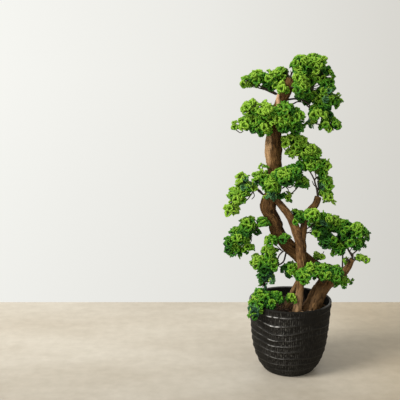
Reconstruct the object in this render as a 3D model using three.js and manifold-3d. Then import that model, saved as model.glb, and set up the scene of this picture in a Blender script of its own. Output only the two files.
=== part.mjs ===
// Bonsai tree in a ribbed pot: a crooked trunk, four smaller stems and clouds of foliage.
// Units are millimetres and +Z is up. The origin is the centre of the pot's flat underside,
// and -Y is the side that the tree is looked at from.
import * as THREE from 'three';
import { mergeVertices } from 'three/addons/utils/BufferGeometryUtils.js';
import Module from 'manifold-3d';

const wasm = await Module();
wasm.setup();

// Clearance between neighbouring pieces
const GAP = 0.3;
const CUT_GROW = 0.4;
const MERGE_DISTANCE = 1e-4;

// Pot
const POT_HEIGHT = 282;
const POT_WALL = 9;
const POT_FLOOR = 12;
const POT_FOOT_RADIUS = 85;
const POT_SEGMENTS = 32;
const POT_OUTLINE = [[98, 4], [116, 28], [131, 61], [141, 94], [148, 140], [154.5, 210], [159, 276]];
const POT_INNER_ROWS = 5;
const RIDGE_COUNT = 9;
const RIDGE_DEPTH = 1.4;
const RIDGE_FADE = 8;
const RIDGE_STEPS = 2;
// Each wave lifts and drops the ridges round the pot: height, waves per turn, phase
const RIDGE_WAVES = [[5, 2, 0.6], [3, 3, 2.1]];

// Soil, 41 mm below the rim
const SOIL_TOP = 241;

// Trunk: rows of x, y, z and radius from below the soil to the cut top
const TRUNK = [
  [66, -8, 218, 37], [80, -5, 243, 34], [108, 5, 303, 31], [134, 12, 342, 29],
  [136, 15, 371, 28], [97, 15, 400, 28], [43, 12, 444, 27], [-12, 10, 492, 26.5],
  [-60, 5, 559, 24], [-67, 3, 596, 20.5], [-87, 1, 624, 26.5], [-92, 0, 645, 30.5],
  [-88, 0, 671, 28.5], [-72, 3, 702, 25], [-65, 5, 735, 22], [-70, 5, 780, 22],
  [-76, 3, 848, 29], [-75, 2, 899, 26.5], [-66, 3, 965, 23], [-49, 4, 1043, 20.5],
  [-31, 4, 1082, 21], [-18, 5, 1125, 18.5],
];
const TRUNK_STEPS = 2;
const TRUNK_SPLITS = [4.5, 12.5];
const TRUNK_SIDES = 12;
const BARK_FLUTES = 5;
const BARK_FLUTE_DEPTH = 0.05;
const BARK_TWIST = 0.12;

// Smaller limbs, each cut back from the limbs before it
const LIMBS = {
  front_stem: [
    [18, -43, 222, 18], [25, -42, 270, 16], [34, -42, 370, 13], [35, -40, 417, 14],
    [33, -38, 463, 19], [30, -36, 509, 20], [12, -33, 559, 16.5], [-6, -28, 604, 15.5],
    [-41, -24, 650, 14.5], [-73, -22, 688, 12],
  ],
  right_stem: [
    [33, -36, 500, 14], [38, -34, 552, 13], [46, -29, 604, 12.5], [64, -24, 637, 13],
    [84, -20, 657, 13], [94, -18, 687, 12.5],
  ],
  rear_stem: [[-24, 12, 220, 11], [6, -5, 310, 9], [26, -20, 362, 8.5], [36, -34, 402, 8]],
  right_bough: [
    [126, 14, 326, 24], [160, 11, 350, 20], [185, 9, 368, 17], [214, 8, 396, 14.5],
    [235, 2, 440, 11],
  ],
  trunk_stub: [[-54, -10, 1006, 13], [-60, -16, 1032, 11], [-64, -18, 1052, 8], [-62, -18, 1073, 3]],
};
const LIMB_SIDES = 8;
const LIMB_STEPS = 2;

// Foliage: the stem is a route of x, y, z from inside its limb to the middle of the first lobe,
// and each lobe of the cloud is x, y, z and radius, flattened a little
const MASSES = {
  crown_top: {
    stem: [[-21, 5, 1120], [-12, -2, 1148], [14, -8, 1174]],
    lobes: [[14, -8, 1178, 40], [72, 5, 1178, 46], [106, 5, 1148, 34], [68, 8, 1130, 27]],
  },
  crown_right: {
    stem: [[-26, 8, 1092], [20, 18, 1082], [58, 18, 1072]],
    lobes: [[58, 18, 1074, 31], [110, 10, 1100, 38], [112, 12, 1048, 44], [150, 8, 1048, 27]],
  },
  crown_front: {
    stem: [[-26, 0, 1094], [-8, -28, 1095], [14, -40, 1094]],
    lobes: [[14, -40, 1092, 34], [12, -40, 1136, 28]],
  },
  crown_cascade: {
    stem: [[-36, 5, 1046], [8, 6, 1050], [50, 5, 1032], [66, 3, 1002], [84, 2, 986]],
    lobes: [
      [86, 2, 1000, 37], [68, -2, 964, 24], [112, 0, 964, 33], [150, 0, 962, 28],
      [122, 4, 1000, 26],
    ],
  },
  upper_left: {
    stem: [[-44, 4, 1052], [-72, 0, 1072], [-100, -4, 1086], [-128, -4, 1096], [-144, 0, 1126]],
    lobes: [
      [-144, 0, 1128, 33], [-100, 5, 1126, 36], [-182, -4, 1118, 26], [-52, 28, 1138, 36],
      [-80, -6, 1105, 25], [-50, -34, 1094, 19],
    ],
  },
  mid_left: {
    stem: [[-66, 0, 968], [-92, -34, 962], [-132, -46, 956]],
    lobes: [
      [-132, -46, 956, 43], [-110, -48, 1012, 40], [-163, -36, 1024, 36], [-178, -36, 966, 34],
      [-222, -28, 960, 20], [-76, -52, 990, 29],
    ],
  },
  mid_right: {
    stem: [[-58, 0, 986], [-46, -40, 976], [-44, -54, 966]],
    lobes: [[-44, -54, 965, 34], [-44, -56, 1016, 39], [-14, -44, 1000, 38], [2, -34, 958, 31]],
  },
  right_arm: {
    stem: [[-70, 2, 906], [-34, -4, 900], [6, -8, 898]],
    lobes: [
      [6, -8, 898, 37], [40, -8, 862, 37], [76, -4, 852, 30], [70, -8, 818, 34],
      [112, 0, 810, 27], [-26, -26, 902, 27], [-8, -16, 858, 24],
    ],
  },
  stub_spray: {
    stem: [[93, -18, 677], [87, -16, 720], [80, -12, 752], [108, -6, 768]],
    lobes: [[108, -4, 776, 26], [122, -4, 736, 31], [122, -4, 700, 27], [140, -4, 674, 16]],
  },
  centre_left: {
    stem: [[-72, -2, 726], [-84, -36, 735], [-90, -50, 742]],
    lobes: [[-90, -50, 742, 36], [-124, -34, 762, 35], [-88, -46, 697, 24], [-116, -8, 804, 19]],
  },
  centre_right: {
    stem: [[-68, 0, 740], [-52, -36, 752], [-38, -54, 774]],
    lobes: [
      [-38, -54, 776, 38], [-6, -38, 786, 37], [30, -26, 745, 28], [-30, -30, 694, 24],
      [22, -20, 802, 24], [-64, -50, 776, 26],
    ],
  },
  left_hanging: {
    stem: [[-86, -4, 676], [-128, -8, 706], [-140, -12, 722], [-176, -14, 718]],
    lobes: [[-177, -14, 720, 36], [-188, -14, 756, 27], [-211, -14, 691, 37], [-228, -14, 640, 27]],
  },
  left_pad: {
    stem: [[-72, 2, 590], [-110, -8, 572], [-168, -8, 576]],
    lobes: [
      [-168, -8, 578, 36], [-110, -26, 597, 27], [-200, -8, 538, 40], [-238, -8, 508, 31],
      [-214, -8, 478, 28], [-170, -8, 494, 26],
    ],
  },
  left_cascade: {
    stem: [[-14, 9, 498], [-22, 0, 456], [-32, -8, 430], [-60, -16, 420], [-88, -18, 430]],
    lobes: [
      [-88, -18, 434, 37], [-86, -18, 478, 31], [-80, -34, 526, 27], [-124, -18, 438, 33],
      [-98, -20, 388, 37], [-106, -24, 345, 20],
    ],
  },
  trunk_tuft: {
    stem: [[-34, 6, 532], [-28, -36, 532]],
    lobes: [[-29, -40, 535, 25]],
  },
  pot_cascade: {
    stem: [[25, -42, 292], [10, -50, 302], [-6, -58, 307]],
    lobes: [
      [-6, -58, 307, 22], [-62, -50, 306, 32], [-108, -52, 308, 36], [-92, -84, 290, 33],
      [-140, -94, 294, 28], [-148, -120, 270, 24],
    ],
  },
  low_front: {
    stem: [[124, 10, 340], [122, -46, 370], [116, -66, 409]],
    lobes: [
      [116, -68, 412, 37], [72, -76, 420, 34], [36, -82, 403, 30], [160, -60, 408, 33],
      [190, -50, 370, 26], [230, -42, 370, 16],
    ],
  },
  small_rear: {
    stem: [[34, -40, 404], [16, -16, 402], [-3, 0, 402]],
    lobes: [[-3, 0, 403, 36]],
  },
  knuckle_tuft: {
    stem: [[92, 16, 414], [104, 22, 432], [110, 24, 446]],
    lobes: [[109, 24, 447, 22]],
  },
  right_pad_inner: {
    stem: [[46, -31, 583], [62, -50, 600], [68, -54, 622]],
    lobes: [
      [68, -56, 624, 33], [17, -24, 615, 32], [116, -30, 606, 33], [100, -18, 566, 34],
      [137, -8, 519, 35],
    ],
  },
  right_pad_outer: {
    stem: [[235, 2, 432], [233, 2, 449], [213, -2, 488], [218, -2, 522]],
    lobes: [
      [218, -2, 524, 32], [197, 0, 568, 36], [160, 8, 583, 31], [246, 0, 558, 37],
      [280, 0, 538, 24], [182, 4, 484, 32], [254, 0, 503, 28],
    ],
  },
  bough_tip: {
    stem: [[233, 2, 428], [248, -1, 440], [262, -3, 447]],
    lobes: [[262, -3, 448, 19], [284, -4, 446, 18]],
  },
  bough_tuft: {
    stem: [[231, 2, 424], [212, -16, 445]],
    lobes: [[211, -18, 446, 19]],
  },
  rear_crown: {
    stem: [[-26, 8, 1105], [4, 60, 1112], [34, 84, 1114]],
    lobes: [[34, 88, 1116, 44], [62, 92, 1064, 40]],
  },
  rear_upper: {
    stem: [[-64, 6, 962], [-70, 60, 976], [-82, 88, 984]],
    lobes: [[-82, 92, 986, 45], [-132, 84, 970, 38]],
  },
  rear_arm: {
    stem: [[-72, 4, 884], [-20, 60, 876], [30, 82, 866]],
    lobes: [[30, 86, 866, 42]],
  },
  rear_centre: {
    stem: [[-66, 6, 738], [-66, 56, 742], [-66, 80, 744]],
    lobes: [[-66, 84, 744, 42], [-8, 78, 752, 37]],
  },
  rear_left: {
    stem: [[-72, 4, 596], [-110, 60, 560], [-152, 82, 534]],
    lobes: [[-152, 86, 536, 36], [-196, 66, 528, 33]],
  },
  rear_low: {
    stem: [[138, 14, 370], [150, 66, 366], [152, 90, 358]],
    lobes: [[152, 94, 362, 38], [196, 78, 352, 31]],
  },
  rear_right: {
    stem: [[200, 10, 383], [206, 48, 430], [210, 76, 524]],
    lobes: [[210, 80, 528, 40], [144, 88, 548, 39], [178, 92, 566, 32]],
  },
};
const LOBE_DEPTH = 1.3;
const LOBE_HEIGHT = 0.9;

// Middle of a lobe, that its leaves stand out of, as shares of the lobe's radius
const CORE_SCALE = 0.93;
const CORE_BRIDGE = 0.66;
const CORE_LUMPS = 0.16;
const BUD_SCALE = 0.6;
const CORE_MIN_RADIUS = 21;

// Twigs
const STEM_RADIUS = 3.6;
const TWIG_RADIUS = 2.6;
const SPRAY_RADIUS = 1.9;
const STEM_SIDES = 4;
const TWIG_SIDES = 3;

// Leaves: length and reach as shares of the lobe's radius, the rest as shares of the length
const LEAF_LENGTH = 0.85;
const LEAF_REACH = 1.14;
const LEAF_WIDTH = 0.95;
const LEAF_THICKNESS = 0.22;
const LEAF_BELLY = 0.64;
const LEAVES_PER_RADIUS = 0.091;
const LEAF_WOBBLE = 0.25;
const SPRAY_DROP = 0.2;
const UNDERSIDE = -0.5;
const UNDERSIDE_SHARE = 0.3;
const BURIED_SHARE = 0.85;

// Room that a leaf keeps to the next mass, as a share of a lobe, and to a limb
const SPACE_MARGIN = 0.07;
const LIMB_MARGIN = 2;

const GOLDEN_TURN = Math.PI * (3 - Math.sqrt(5));
const LEAF_AXIS = new THREE.Vector3(0, 1, 0);
const FRAME_SIDE = new THREE.Vector3(0.1, 1, 0.05).normalize();

const MATERIALS = {
  pot: { color: 0x1d1c1b, roughness: 0.5, metalness: 0 },
  soil: { color: 0x33241a, roughness: 1, metalness: 0 },
  bark: { color: 0x5e3f27, roughness: 0.9, metalness: 0 },
  cut_wood: { color: 0x9a6a42, roughness: 0.8, metalness: 0 },
  foliage: { color: 0x3f8f1d, roughness: 0.55, metalness: 0 },
};

const group = new THREE.Group();

function addPiece(name, geometry, material) {
  geometry.computeVertexNormals();
  const mesh = new THREE.Mesh(geometry, new THREE.MeshStandardMaterial(MATERIALS[material]));
  mesh.name = name;
  group.add(mesh);
}

function toVector([x, y, z]) {
  return new THREE.Vector3(x, y, z);
}

// A small repeatable random number source, one per mass
function seeded(seed) {
  let state = seed * 7919;
  return () => {
    state = (state + 0x6d2b79f5) | 0;
    let t = Math.imul(state ^ (state >>> 15), 1 | state);
    t = (t + Math.imul(t ^ (t >>> 7), 61 | t)) ^ t;
    return ((t ^ (t >>> 14)) >>> 0) / 4294967296;
  };
}

// Positions only, with the corners that coincide merged
function mergedCorners(geometry) {
  geometry.deleteAttribute('normal');
  geometry.deleteAttribute('uv');
  return mergeVertices(geometry, MERGE_DISTANCE);
}

// A closed geometry as a solid for cutting and joining
function toSolid(geometry) {
  const merged = mergedCorners(geometry);
  const index = merged.index.array;
  const triangles = [];
  for (let i = 0; i < index.length; i += 3) {
    const [a, b, c] = [index[i], index[i + 1], index[i + 2]];
    if (a !== b && b !== c && c !== a) triangles.push(a, b, c);
  }
  const mesh = new wasm.Mesh({
    numProp: 3,
    vertProperties: new Float32Array(merged.attributes.position.array),
    triVerts: new Uint32Array(triangles),
  });
  return new wasm.Manifold(mesh);
}

// The largest body of a solid, without loose scraps and sealed hollows
function largestBody(solid) {
  const bodies = solid.decompose();
  return bodies.reduce((best, body) => (body.volume() > best.volume() ? body : best));
}

function toGeometry(solid) {
  const mesh = solid.getMesh();
  const geometry = new THREE.BufferGeometry();
  geometry.setAttribute('position', new THREE.BufferAttribute(mesh.vertProperties, 3));
  geometry.setIndex(new THREE.BufferAttribute(mesh.triVerts, 1));
  return geometry;
}

// Pot: the outline as a smooth curve, lathed round, with a ridge every few centimetres
const potOutline = new THREE.SplineCurve(POT_OUTLINE.map(([r, z]) => new THREE.Vector2(r, z)));

function ridge(share) {
  const fade = Math.min(1, RIDGE_FADE * share, RIDGE_FADE * (1 - share));
  return RIDGE_DEPTH * fade * Math.cos(2 * Math.PI * RIDGE_COUNT * share);
}

// Inner wall from the floor up to just under the rim, shrunk by the given amount
function innerWall(shrink) {
  const corner = new THREE.Vector2(POT_FOOT_RADIUS + 2 - shrink, POT_FLOOR + shrink);
  const wall = potOutline.getSpacedPoints(POT_INNER_ROWS)
    .filter((point) => point.y > 1.5 * POT_FLOOR && point.y < POT_HEIGHT - POT_WALL)
    .map((point) => new THREE.Vector2(point.x - POT_WALL - shrink, point.y));
  return [corner, ...wall];
}

function potProfile(grow) {
  const rows = RIDGE_COUNT * RIDGE_STEPS;
  const rim = POT_OUTLINE.at(-1)[0];
  return [
    new THREE.Vector2(0, -grow),
    new THREE.Vector2(POT_FOOT_RADIUS + grow, -grow),
    ...potOutline.getSpacedPoints(rows)
      .map((point, i) => new THREE.Vector2(point.x + ridge(i / rows) + grow, point.y)),
    new THREE.Vector2(rim - 1 + grow, POT_HEIGHT + grow),
    new THREE.Vector2(rim - POT_WALL - grow, POT_HEIGHT + grow),
    ...innerWall(grow).reverse(),
    new THREE.Vector2(0, POT_FLOOR + grow),
  ];
}

// Outer radius of the pot's wall at a height, without ridges
function outerRadius(z) {
  const next = POT_OUTLINE.findIndex(([, height]) => z <= height);
  if (next < 0) return POT_OUTLINE.at(-1)[0];
  if (next === 0) return POT_OUTLINE[0][0];
  const [[r0, z0], [r1, z1]] = [POT_OUTLINE[next - 1], POT_OUTLINE[next]];
  return r0 + ((r1 - r0) * (z - z0)) / (z1 - z0);
}

// The lathe turns about Y, so its result is stood up; then the outer wall's ridges are waved
function potGeometry(grow) {
  const geometry = new THREE.LatheGeometry(potProfile(grow), POT_SEGMENTS);
  geometry.rotateX(Math.PI / 2);
  const position = geometry.attributes.position;
  const point = new THREE.Vector3();
  for (let i = 0; i < position.count; i += 1) {
    point.fromBufferAttribute(position, i);
    const turn = Math.atan2(point.y, point.x);
    const outer = Math.hypot(point.x, point.y) > outerRadius(point.z) - POT_WALL / 2;
    if (outer && point.z > POT_FLOOR / 2 && point.z < POT_HEIGHT - POT_WALL) {
      const wave = RIDGE_WAVES
        .reduce((sum, [height, count, phase]) => sum + height * Math.sin(count * turn + phase), 0);
      position.setZ(i, point.z + wave * Math.sin((Math.PI * point.z) / POT_HEIGHT));
    }
  }
  return geometry;
}

function soilGeometry() {
  const wall = innerWall(GAP).filter((point) => point.y < SOIL_TOP);
  const top = outerRadius(SOIL_TOP) - POT_WALL - 1;
  const profile = [
    new THREE.Vector2(0, POT_FLOOR + GAP),
    ...wall,
    new THREE.Vector2(top, SOIL_TOP),
    new THREE.Vector2(0, SOIL_TOP),
  ];
  const geometry = new THREE.LatheGeometry(profile, POT_SEGMENTS);
  geometry.rotateX(Math.PI / 2);
  return geometry;
}

// Rows along a limb: centre, radius and a frame that turns as little as it can
function limbRows(route, steps) {
  const curve = new THREE.CatmullRomCurve3(route.map(toVector));
  const girth = new THREE.CatmullRomCurve3(route.map((point) => new THREE.Vector3(point[3], 0, 0)));
  const count = (route.length - 1) * steps;
  const rows = [];
  let normal = null;
  for (let i = 0; i <= count; i += 1) {
    const t = i / count;
    const tangent = curve.getTangent(t);
    const side = normal ?? new THREE.Vector3().crossVectors(FRAME_SIDE, tangent);
    normal = side.clone().addScaledVector(tangent, -side.dot(tangent)).normalize();
    const binormal = new THREE.Vector3().crossVectors(normal, tangent);
    rows.push({ centre: curve.getPoint(t), radius: girth.getPoint(t).x, tangent, normal, binormal });
  }
  return rows;
}

// A closed unit cylinder bent along rows, with its ends drawn back or pushed out
function tubeAlong(rows, sides, { grow = 0, ends = 0, flutes = 0 } = {}) {
  const last = rows.length - 1;
  const geometry = new THREE.CylinderGeometry(1, 1, 1, sides, last);
  const position = geometry.attributes.position;
  const point = new THREE.Vector3();
  for (let i = 0; i < position.count; i += 1) {
    point.fromBufferAttribute(position, i);
    const at = Math.round((point.y + 0.5) * last);
    const row = rows[at];
    const turn = Math.atan2(point.z, point.x) + at * BARK_TWIST;
    const radius = row.radius * (1 + flutes * Math.cos(BARK_FLUTES * turn)) + grow;
    const shift = (at === 0 ? -ends : 0) + (at === last ? ends : 0);
    const place = row.centre.clone().addScaledVector(row.tangent, shift);
    place.addScaledVector(row.normal, point.x * radius);
    place.addScaledVector(row.binormal, point.z * radius);
    position.setXYZ(i, place.x, place.y, place.z);
  }
  return geometry;
}

// Everything below the soil's surface, to trim the limbs that stand in it
function belowSoil() {
  const box = new THREE.BoxGeometry(2 * POT_HEIGHT, 2 * POT_HEIGHT, POT_HEIGHT);
  return toSolid(box.translate(0, 0, SOIL_TOP + GAP - POT_HEIGHT / 2));
}

// Limbs so far, each with the grown copy that its neighbours are cut by
const limbs = [];

function addLimb(name, rows, sides, options, neighbours, material) {
  const grown = toSolid(tubeAlong(rows, sides, { ...options, grow: CUT_GROW, ends: CUT_GROW }));
  let solid = toSolid(tubeAlong(rows, sides, options)).subtract(belowSoil());
  neighbours.forEach((limb) => {
    solid = solid.subtract(limb.grown);
  });
  limbs.push({ rows, grown });
  addPiece(name, toGeometry(largestBody(solid)), material);
}

// One smooth trunk in three pieces, parted at its two bends
function addTrunk() {
  const rows = limbRows(TRUNK, TRUNK_STEPS);
  const cuts = [0, ...TRUNK_SPLITS.map((split) => split * TRUNK_STEPS), rows.length - 1];
  const options = { ends: -GAP / 2, flutes: BARK_FLUTE_DEPTH };
  ['trunk_base', 'trunk_middle', 'trunk_upper'].forEach((name, i) => {
    addLimb(name, rows.slice(cuts[i], cuts[i + 1] + 1), TRUNK_SIDES, options, [], 'bark');
  });
}

function addBoughs() {
  Object.entries(LIMBS).forEach(([name, route]) => {
    const material = name === 'trunk_stub' ? 'cut_wood' : 'bark';
    addLimb(name, limbRows(route, LIMB_STEPS), LIMB_SIDES, {}, [...limbs], material);
  });
}

// Offset inside a lobe from its middle, for a direction and a share of its radius
function lobeOffset(direction, size) {
  const offset = direction.clone().multiplyScalar(size);
  return offset.multiply(new THREE.Vector3(1, LOBE_DEPTH, LOBE_HEIGHT));
}

// How far a point lies from a lobe's middle, as a share of the way to its surface
function lobeShare([x, y, z, r], point) {
  const dx = (point.x - x) / r;
  const dy = (point.y - y) / (r * LOBE_DEPTH);
  const dz = (point.z - z) / (r * LOBE_HEIGHT);
  return Math.hypot(dx, dy, dz);
}

function cloudShare(lobes, point) {
  return Math.min(...lobes.map((lobe) => lobeShare(lobe, point)));
}

// True where a point lies nearer to its own mass's lobes than to any other mass's
function inOwnSpace(name, point) {
  const own = cloudShare(MASSES[name].lobes, point) + SPACE_MARGIN;
  return Object.entries(MASSES)
    .every(([other, mass]) => other === name || cloudShare(mass.lobes, point) > own);
}

function isClearOfLimbs(point) {
  const segment = new THREE.Line3();
  const nearest = new THREE.Vector3();
  return limbs.every(({ rows }) => rows.slice(1).every((row, i) => {
    segment.set(rows[i].centre, row.centre);
    segment.closestPointToPoint(point, true, nearest);
    return nearest.distanceTo(point) > Math.max(rows[i].radius, row.radius) + LIMB_MARGIN;
  }));
}

function isClearOfPot(point) {
  const reach = Math.hypot(point.x, point.y);
  const wall = outerRadius(point.z);
  const overRim = point.z > POT_HEIGHT + LIMB_MARGIN;
  const outside = reach > wall + RIDGE_DEPTH + LIMB_MARGIN;
  const inside = reach < wall - POT_WALL - LIMB_MARGIN && point.z > SOIL_TOP + LIMB_MARGIN;
  return overRim || outside || inside;
}

// A twig through points, tapering from one radius to the other
function twig(points, startRadius, endRadius, sides) {
  const route = points.map((point, i) => {
    const share = i / (points.length - 1);
    return [point.x, point.y, point.z, THREE.MathUtils.lerp(startRadius, endRadius, share)];
  });
  return toSolid(tubeAlong(limbRows(route, 1), sides));
}

// A kite-shaped leaf with a raised belly, from its root along a direction
function leafGeometry(root, direction, length, spin) {
  const geometry = new THREE.OctahedronGeometry(1);
  const position = geometry.attributes.position;
  for (let i = 0; i < position.count; i += 1) {
    const y = position.getY(i);
    const along = Math.abs(y) > 0.5 ? (y + 1) / 2 : LEAF_BELLY;
    const across = (position.getX(i) * LEAF_WIDTH) / 2;
    const through = (position.getZ(i) * LEAF_THICKNESS) / 2;
    position.setXYZ(i, across * length, along * length, through * length);
  }
  geometry.rotateY(spin);
  geometry.applyQuaternion(new THREE.Quaternion().setFromUnitVectors(LEAF_AXIS, direction));
  return geometry.translate(root.x, root.y, root.z);
}

// The lumpy middle of a lobe, drawn out towards its neighbour and kept to the mass's own space
function core(name, lobe, neighbour, random) {
  const r = lobe[3];
  const middle = toVector(lobe);
  const dense = r >= CORE_MIN_RADIUS;
  const back = neighbour.clone().sub(middle);
  const bridge = CORE_BRIDGE * back.length();
  back.normalize();
  const shape = dense ? new THREE.IcosahedronGeometry(1) : new THREE.OctahedronGeometry(1);
  const geometry = mergedCorners(shape);
  geometry.rotateZ(random() * Math.PI);
  geometry.rotateX(random() * Math.PI);
  const position = geometry.attributes.position;
  for (let i = 0; i < position.count; i += 1) {
    const direction = new THREE.Vector3().fromBufferAttribute(position, i);
    const lump = 1 + CORE_LUMPS * (2 * random() - 1);
    const round = r * lump * (dense ? CORE_SCALE : BUD_SCALE);
    const size = Math.max(round, bridge * direction.dot(back) ** 3);
    let point = middle.clone();
    for (let shrink = 1; shrink > 0.1; shrink *= 0.85) {
      point = middle.clone().add(lobeOffset(direction, size * shrink));
      if (inOwnSpace(name, point)) break;
    }
    position.setXYZ(i, point.x, point.y, point.z);
  }
  return toSolid(geometry);
}

// Directions over a lobe: away from its neighbour, then a golden-angle spread
function sprayDirections(count, outward, random) {
  const directions = [outward];
  const start = random() * 2 * Math.PI;
  const wobble = () => LEAF_WOBBLE * (2 * random() - 1);
  for (let i = 0; i < count; i += 1) {
    const height = 1 - (2 * i + 1) / count;
    const ring = Math.sqrt(1 - height * height);
    const turn = start + i * GOLDEN_TURN;
    const direction = new THREE.Vector3(ring * Math.cos(turn), ring * Math.sin(turn), height);
    direction.add(new THREE.Vector3(wobble(), wobble(), wobble())).normalize();
    directions.push(direction);
  }
  return directions;
}

// One spray: a leaf whose tip lies on the lobe, and in a thin lobe also the twig that bears it.
// It is left out where it would be buried, leave the mass's space or touch a limb.
function spray(name, lobe, direction, random) {
  const r = lobe[3];
  const middle = toVector(lobe);
  const foot = new THREE.Vector3(middle.x, middle.y, middle.z - SPRAY_DROP * r);
  const tip = middle.clone().add(lobeOffset(direction, LEAF_REACH * r));
  const length = LEAF_LENGTH * r * (0.9 + 0.1 * random());
  const heading = tip.clone().sub(foot).normalize();
  const root = tip.clone().addScaledVector(heading, -length);
  const geometry = leafGeometry(root, heading, length, random() * Math.PI);
  const others = MASSES[name].lobes.filter((other) => other !== lobe);
  if (others.length > 0 && cloudShare(others, tip) < BURIED_SHARE) return null;
  const position = geometry.attributes.position;
  for (let i = 0; i < position.count; i += 1) {
    const corner = new THREE.Vector3().fromBufferAttribute(position, i);
    const fits = inOwnSpace(name, corner) && isClearOfLimbs(corner) && isClearOfPot(corner);
    if (!fits) return null;
  }
  const solid = toSolid(geometry);
  if (r >= CORE_MIN_RADIUS) return solid;
  const seat = root.addScaledVector(heading, LEAF_BELLY * length);
  return solid.add(twig([foot, seat], SPRAY_RADIUS, SPRAY_RADIUS, TWIG_SIDES));
}

function nearestOf(points, target) {
  const nearer = (best, point) => {
    return point.distanceTo(target) < best.distanceTo(target) ? point : best;
  };
  return points.reduce(nearer);
}

// A mass grows from its stem: each lobe hangs on a twig from the nearest lobe before it
function foliageMass(name, seed, grownPot) {
  const { stem, lobes } = MASSES[name];
  const random = seeded(seed);
  const middles = lobes.map(toVector);
  let solid = twig(stem.map(toVector), STEM_RADIUS, TWIG_RADIUS, STEM_SIDES);
  lobes.forEach((lobe, i) => {
    const first = i === 0;
    const from = first ? middles[0] : nearestOf(middles.slice(0, i), middles[i]);
    if (!first) {
      solid = solid.add(twig([from, middles[i]], TWIG_RADIUS, SPRAY_RADIUS, TWIG_SIDES));
    }
    solid = solid.add(core(name, lobe, from, random));
    const outward = first ? new THREE.Vector3(0, 0, 1) : middles[i].clone().sub(from).normalize();
    const count = Math.round(lobe[3] * LEAVES_PER_RADIUS);
    sprayDirections(count, outward, random).forEach((direction) => {
      const bareBelow = direction.z < UNDERSIDE && random() > UNDERSIDE_SHARE;
      const leaves = bareBelow ? null : spray(name, lobe, direction, random);
      if (leaves) solid = solid.add(leaves);
    });
  });
  limbs.forEach((limb) => {
    solid = solid.subtract(limb.grown);
  });
  return largestBody(solid.subtract(grownPot));
}

function addFoliage() {
  const grownPot = toSolid(potGeometry(CUT_GROW));
  Object.keys(MASSES).forEach((name, index) => {
    addPiece(name, toGeometry(foliageMass(name, index + 1, grownPot)), 'foliage');
  });
}

addPiece('pot', potGeometry(0), 'pot');
addPiece('soil', soilGeometry(), 'soil');
addTrunk();
addBoughs();
addFoliage();

export default group;
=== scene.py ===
import math

import bpy
import numpy as np
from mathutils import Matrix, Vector


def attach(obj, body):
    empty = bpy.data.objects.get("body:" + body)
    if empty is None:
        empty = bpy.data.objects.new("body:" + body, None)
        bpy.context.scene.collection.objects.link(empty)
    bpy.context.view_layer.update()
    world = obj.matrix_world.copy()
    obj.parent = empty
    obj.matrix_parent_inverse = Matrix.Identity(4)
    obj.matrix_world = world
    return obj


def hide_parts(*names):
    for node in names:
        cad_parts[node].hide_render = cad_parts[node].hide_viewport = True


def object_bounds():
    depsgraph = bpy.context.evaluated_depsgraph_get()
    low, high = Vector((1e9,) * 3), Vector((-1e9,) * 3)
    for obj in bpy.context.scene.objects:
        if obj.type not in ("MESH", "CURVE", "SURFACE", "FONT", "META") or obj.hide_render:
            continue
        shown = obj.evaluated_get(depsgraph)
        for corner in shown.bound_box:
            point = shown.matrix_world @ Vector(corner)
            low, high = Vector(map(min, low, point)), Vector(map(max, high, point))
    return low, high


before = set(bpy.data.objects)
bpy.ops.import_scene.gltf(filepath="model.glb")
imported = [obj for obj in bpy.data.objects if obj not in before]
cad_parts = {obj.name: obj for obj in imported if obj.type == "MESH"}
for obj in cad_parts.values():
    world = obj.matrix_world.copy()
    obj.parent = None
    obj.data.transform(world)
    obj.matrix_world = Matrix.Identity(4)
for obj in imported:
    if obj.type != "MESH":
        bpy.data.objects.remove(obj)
cad_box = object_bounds()

# ---- Sizes shared with the solids

POT_HEIGHT = 282.0
POT_WALL = 9.0
POT_FLOOR = 12.0
POT_FOOT_RADIUS = 85.0
POT_OUTLINE = [(98, 4), (116, 28), (131, 61), (141, 94), (148, 140), (154.5, 210), (159, 276)]
SOIL_TOP = 241.0

TRUNK = [
    (66, -8, 218, 37), (80, -5, 243, 34), (108, 5, 303, 31), (134, 12, 342, 29),
    (136, 15, 371, 28), (97, 15, 400, 28), (43, 12, 444, 27), (-12, 10, 492, 26.5),
    (-60, 5, 559, 24), (-67, 3, 596, 20.5), (-87, 1, 624, 26.5), (-92, 0, 645, 30.5),
    (-88, 0, 671, 28.5), (-72, 3, 702, 25), (-65, 5, 735, 22), (-70, 5, 780, 22),
    (-76, 3, 848, 29), (-75, 2, 899, 26.5), (-66, 3, 965, 23), (-49, 4, 1043, 20.5),
    (-31, 4, 1082, 21), (-18, 5, 1125, 18.5),
]

LIMBS = {
    "front_stem": [
        (18, -43, 222, 18), (25, -42, 270, 16), (34, -42, 370, 13), (35, -40, 417, 14),
        (33, -38, 463, 19), (30, -36, 509, 20), (12, -33, 559, 16.5), (-6, -28, 604, 15.5),
        (-41, -24, 650, 14.5), (-73, -22, 688, 12),
    ],
    "right_stem": [
        (33, -36, 500, 14), (38, -34, 552, 13), (46, -29, 604, 12.5), (64, -24, 637, 13),
        (84, -20, 657, 13), (94, -18, 687, 12.5),
    ],
    "rear_stem": [(-24, 12, 220, 11), (6, -5, 310, 9), (26, -20, 362, 8.5), (36, -34, 402, 8)],
    "right_bough": [
        (126, 14, 326, 24), (160, 11, 350, 20), (185, 9, 368, 17), (214, 8, 396, 14.5),
        (235, 2, 440, 11),
    ],
    "trunk_stub": [
        (-54, -10, 1006, 13), (-60, -16, 1032, 11), (-64, -18, 1052, 8), (-62, -18, 1073, 3),
    ],
}

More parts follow.
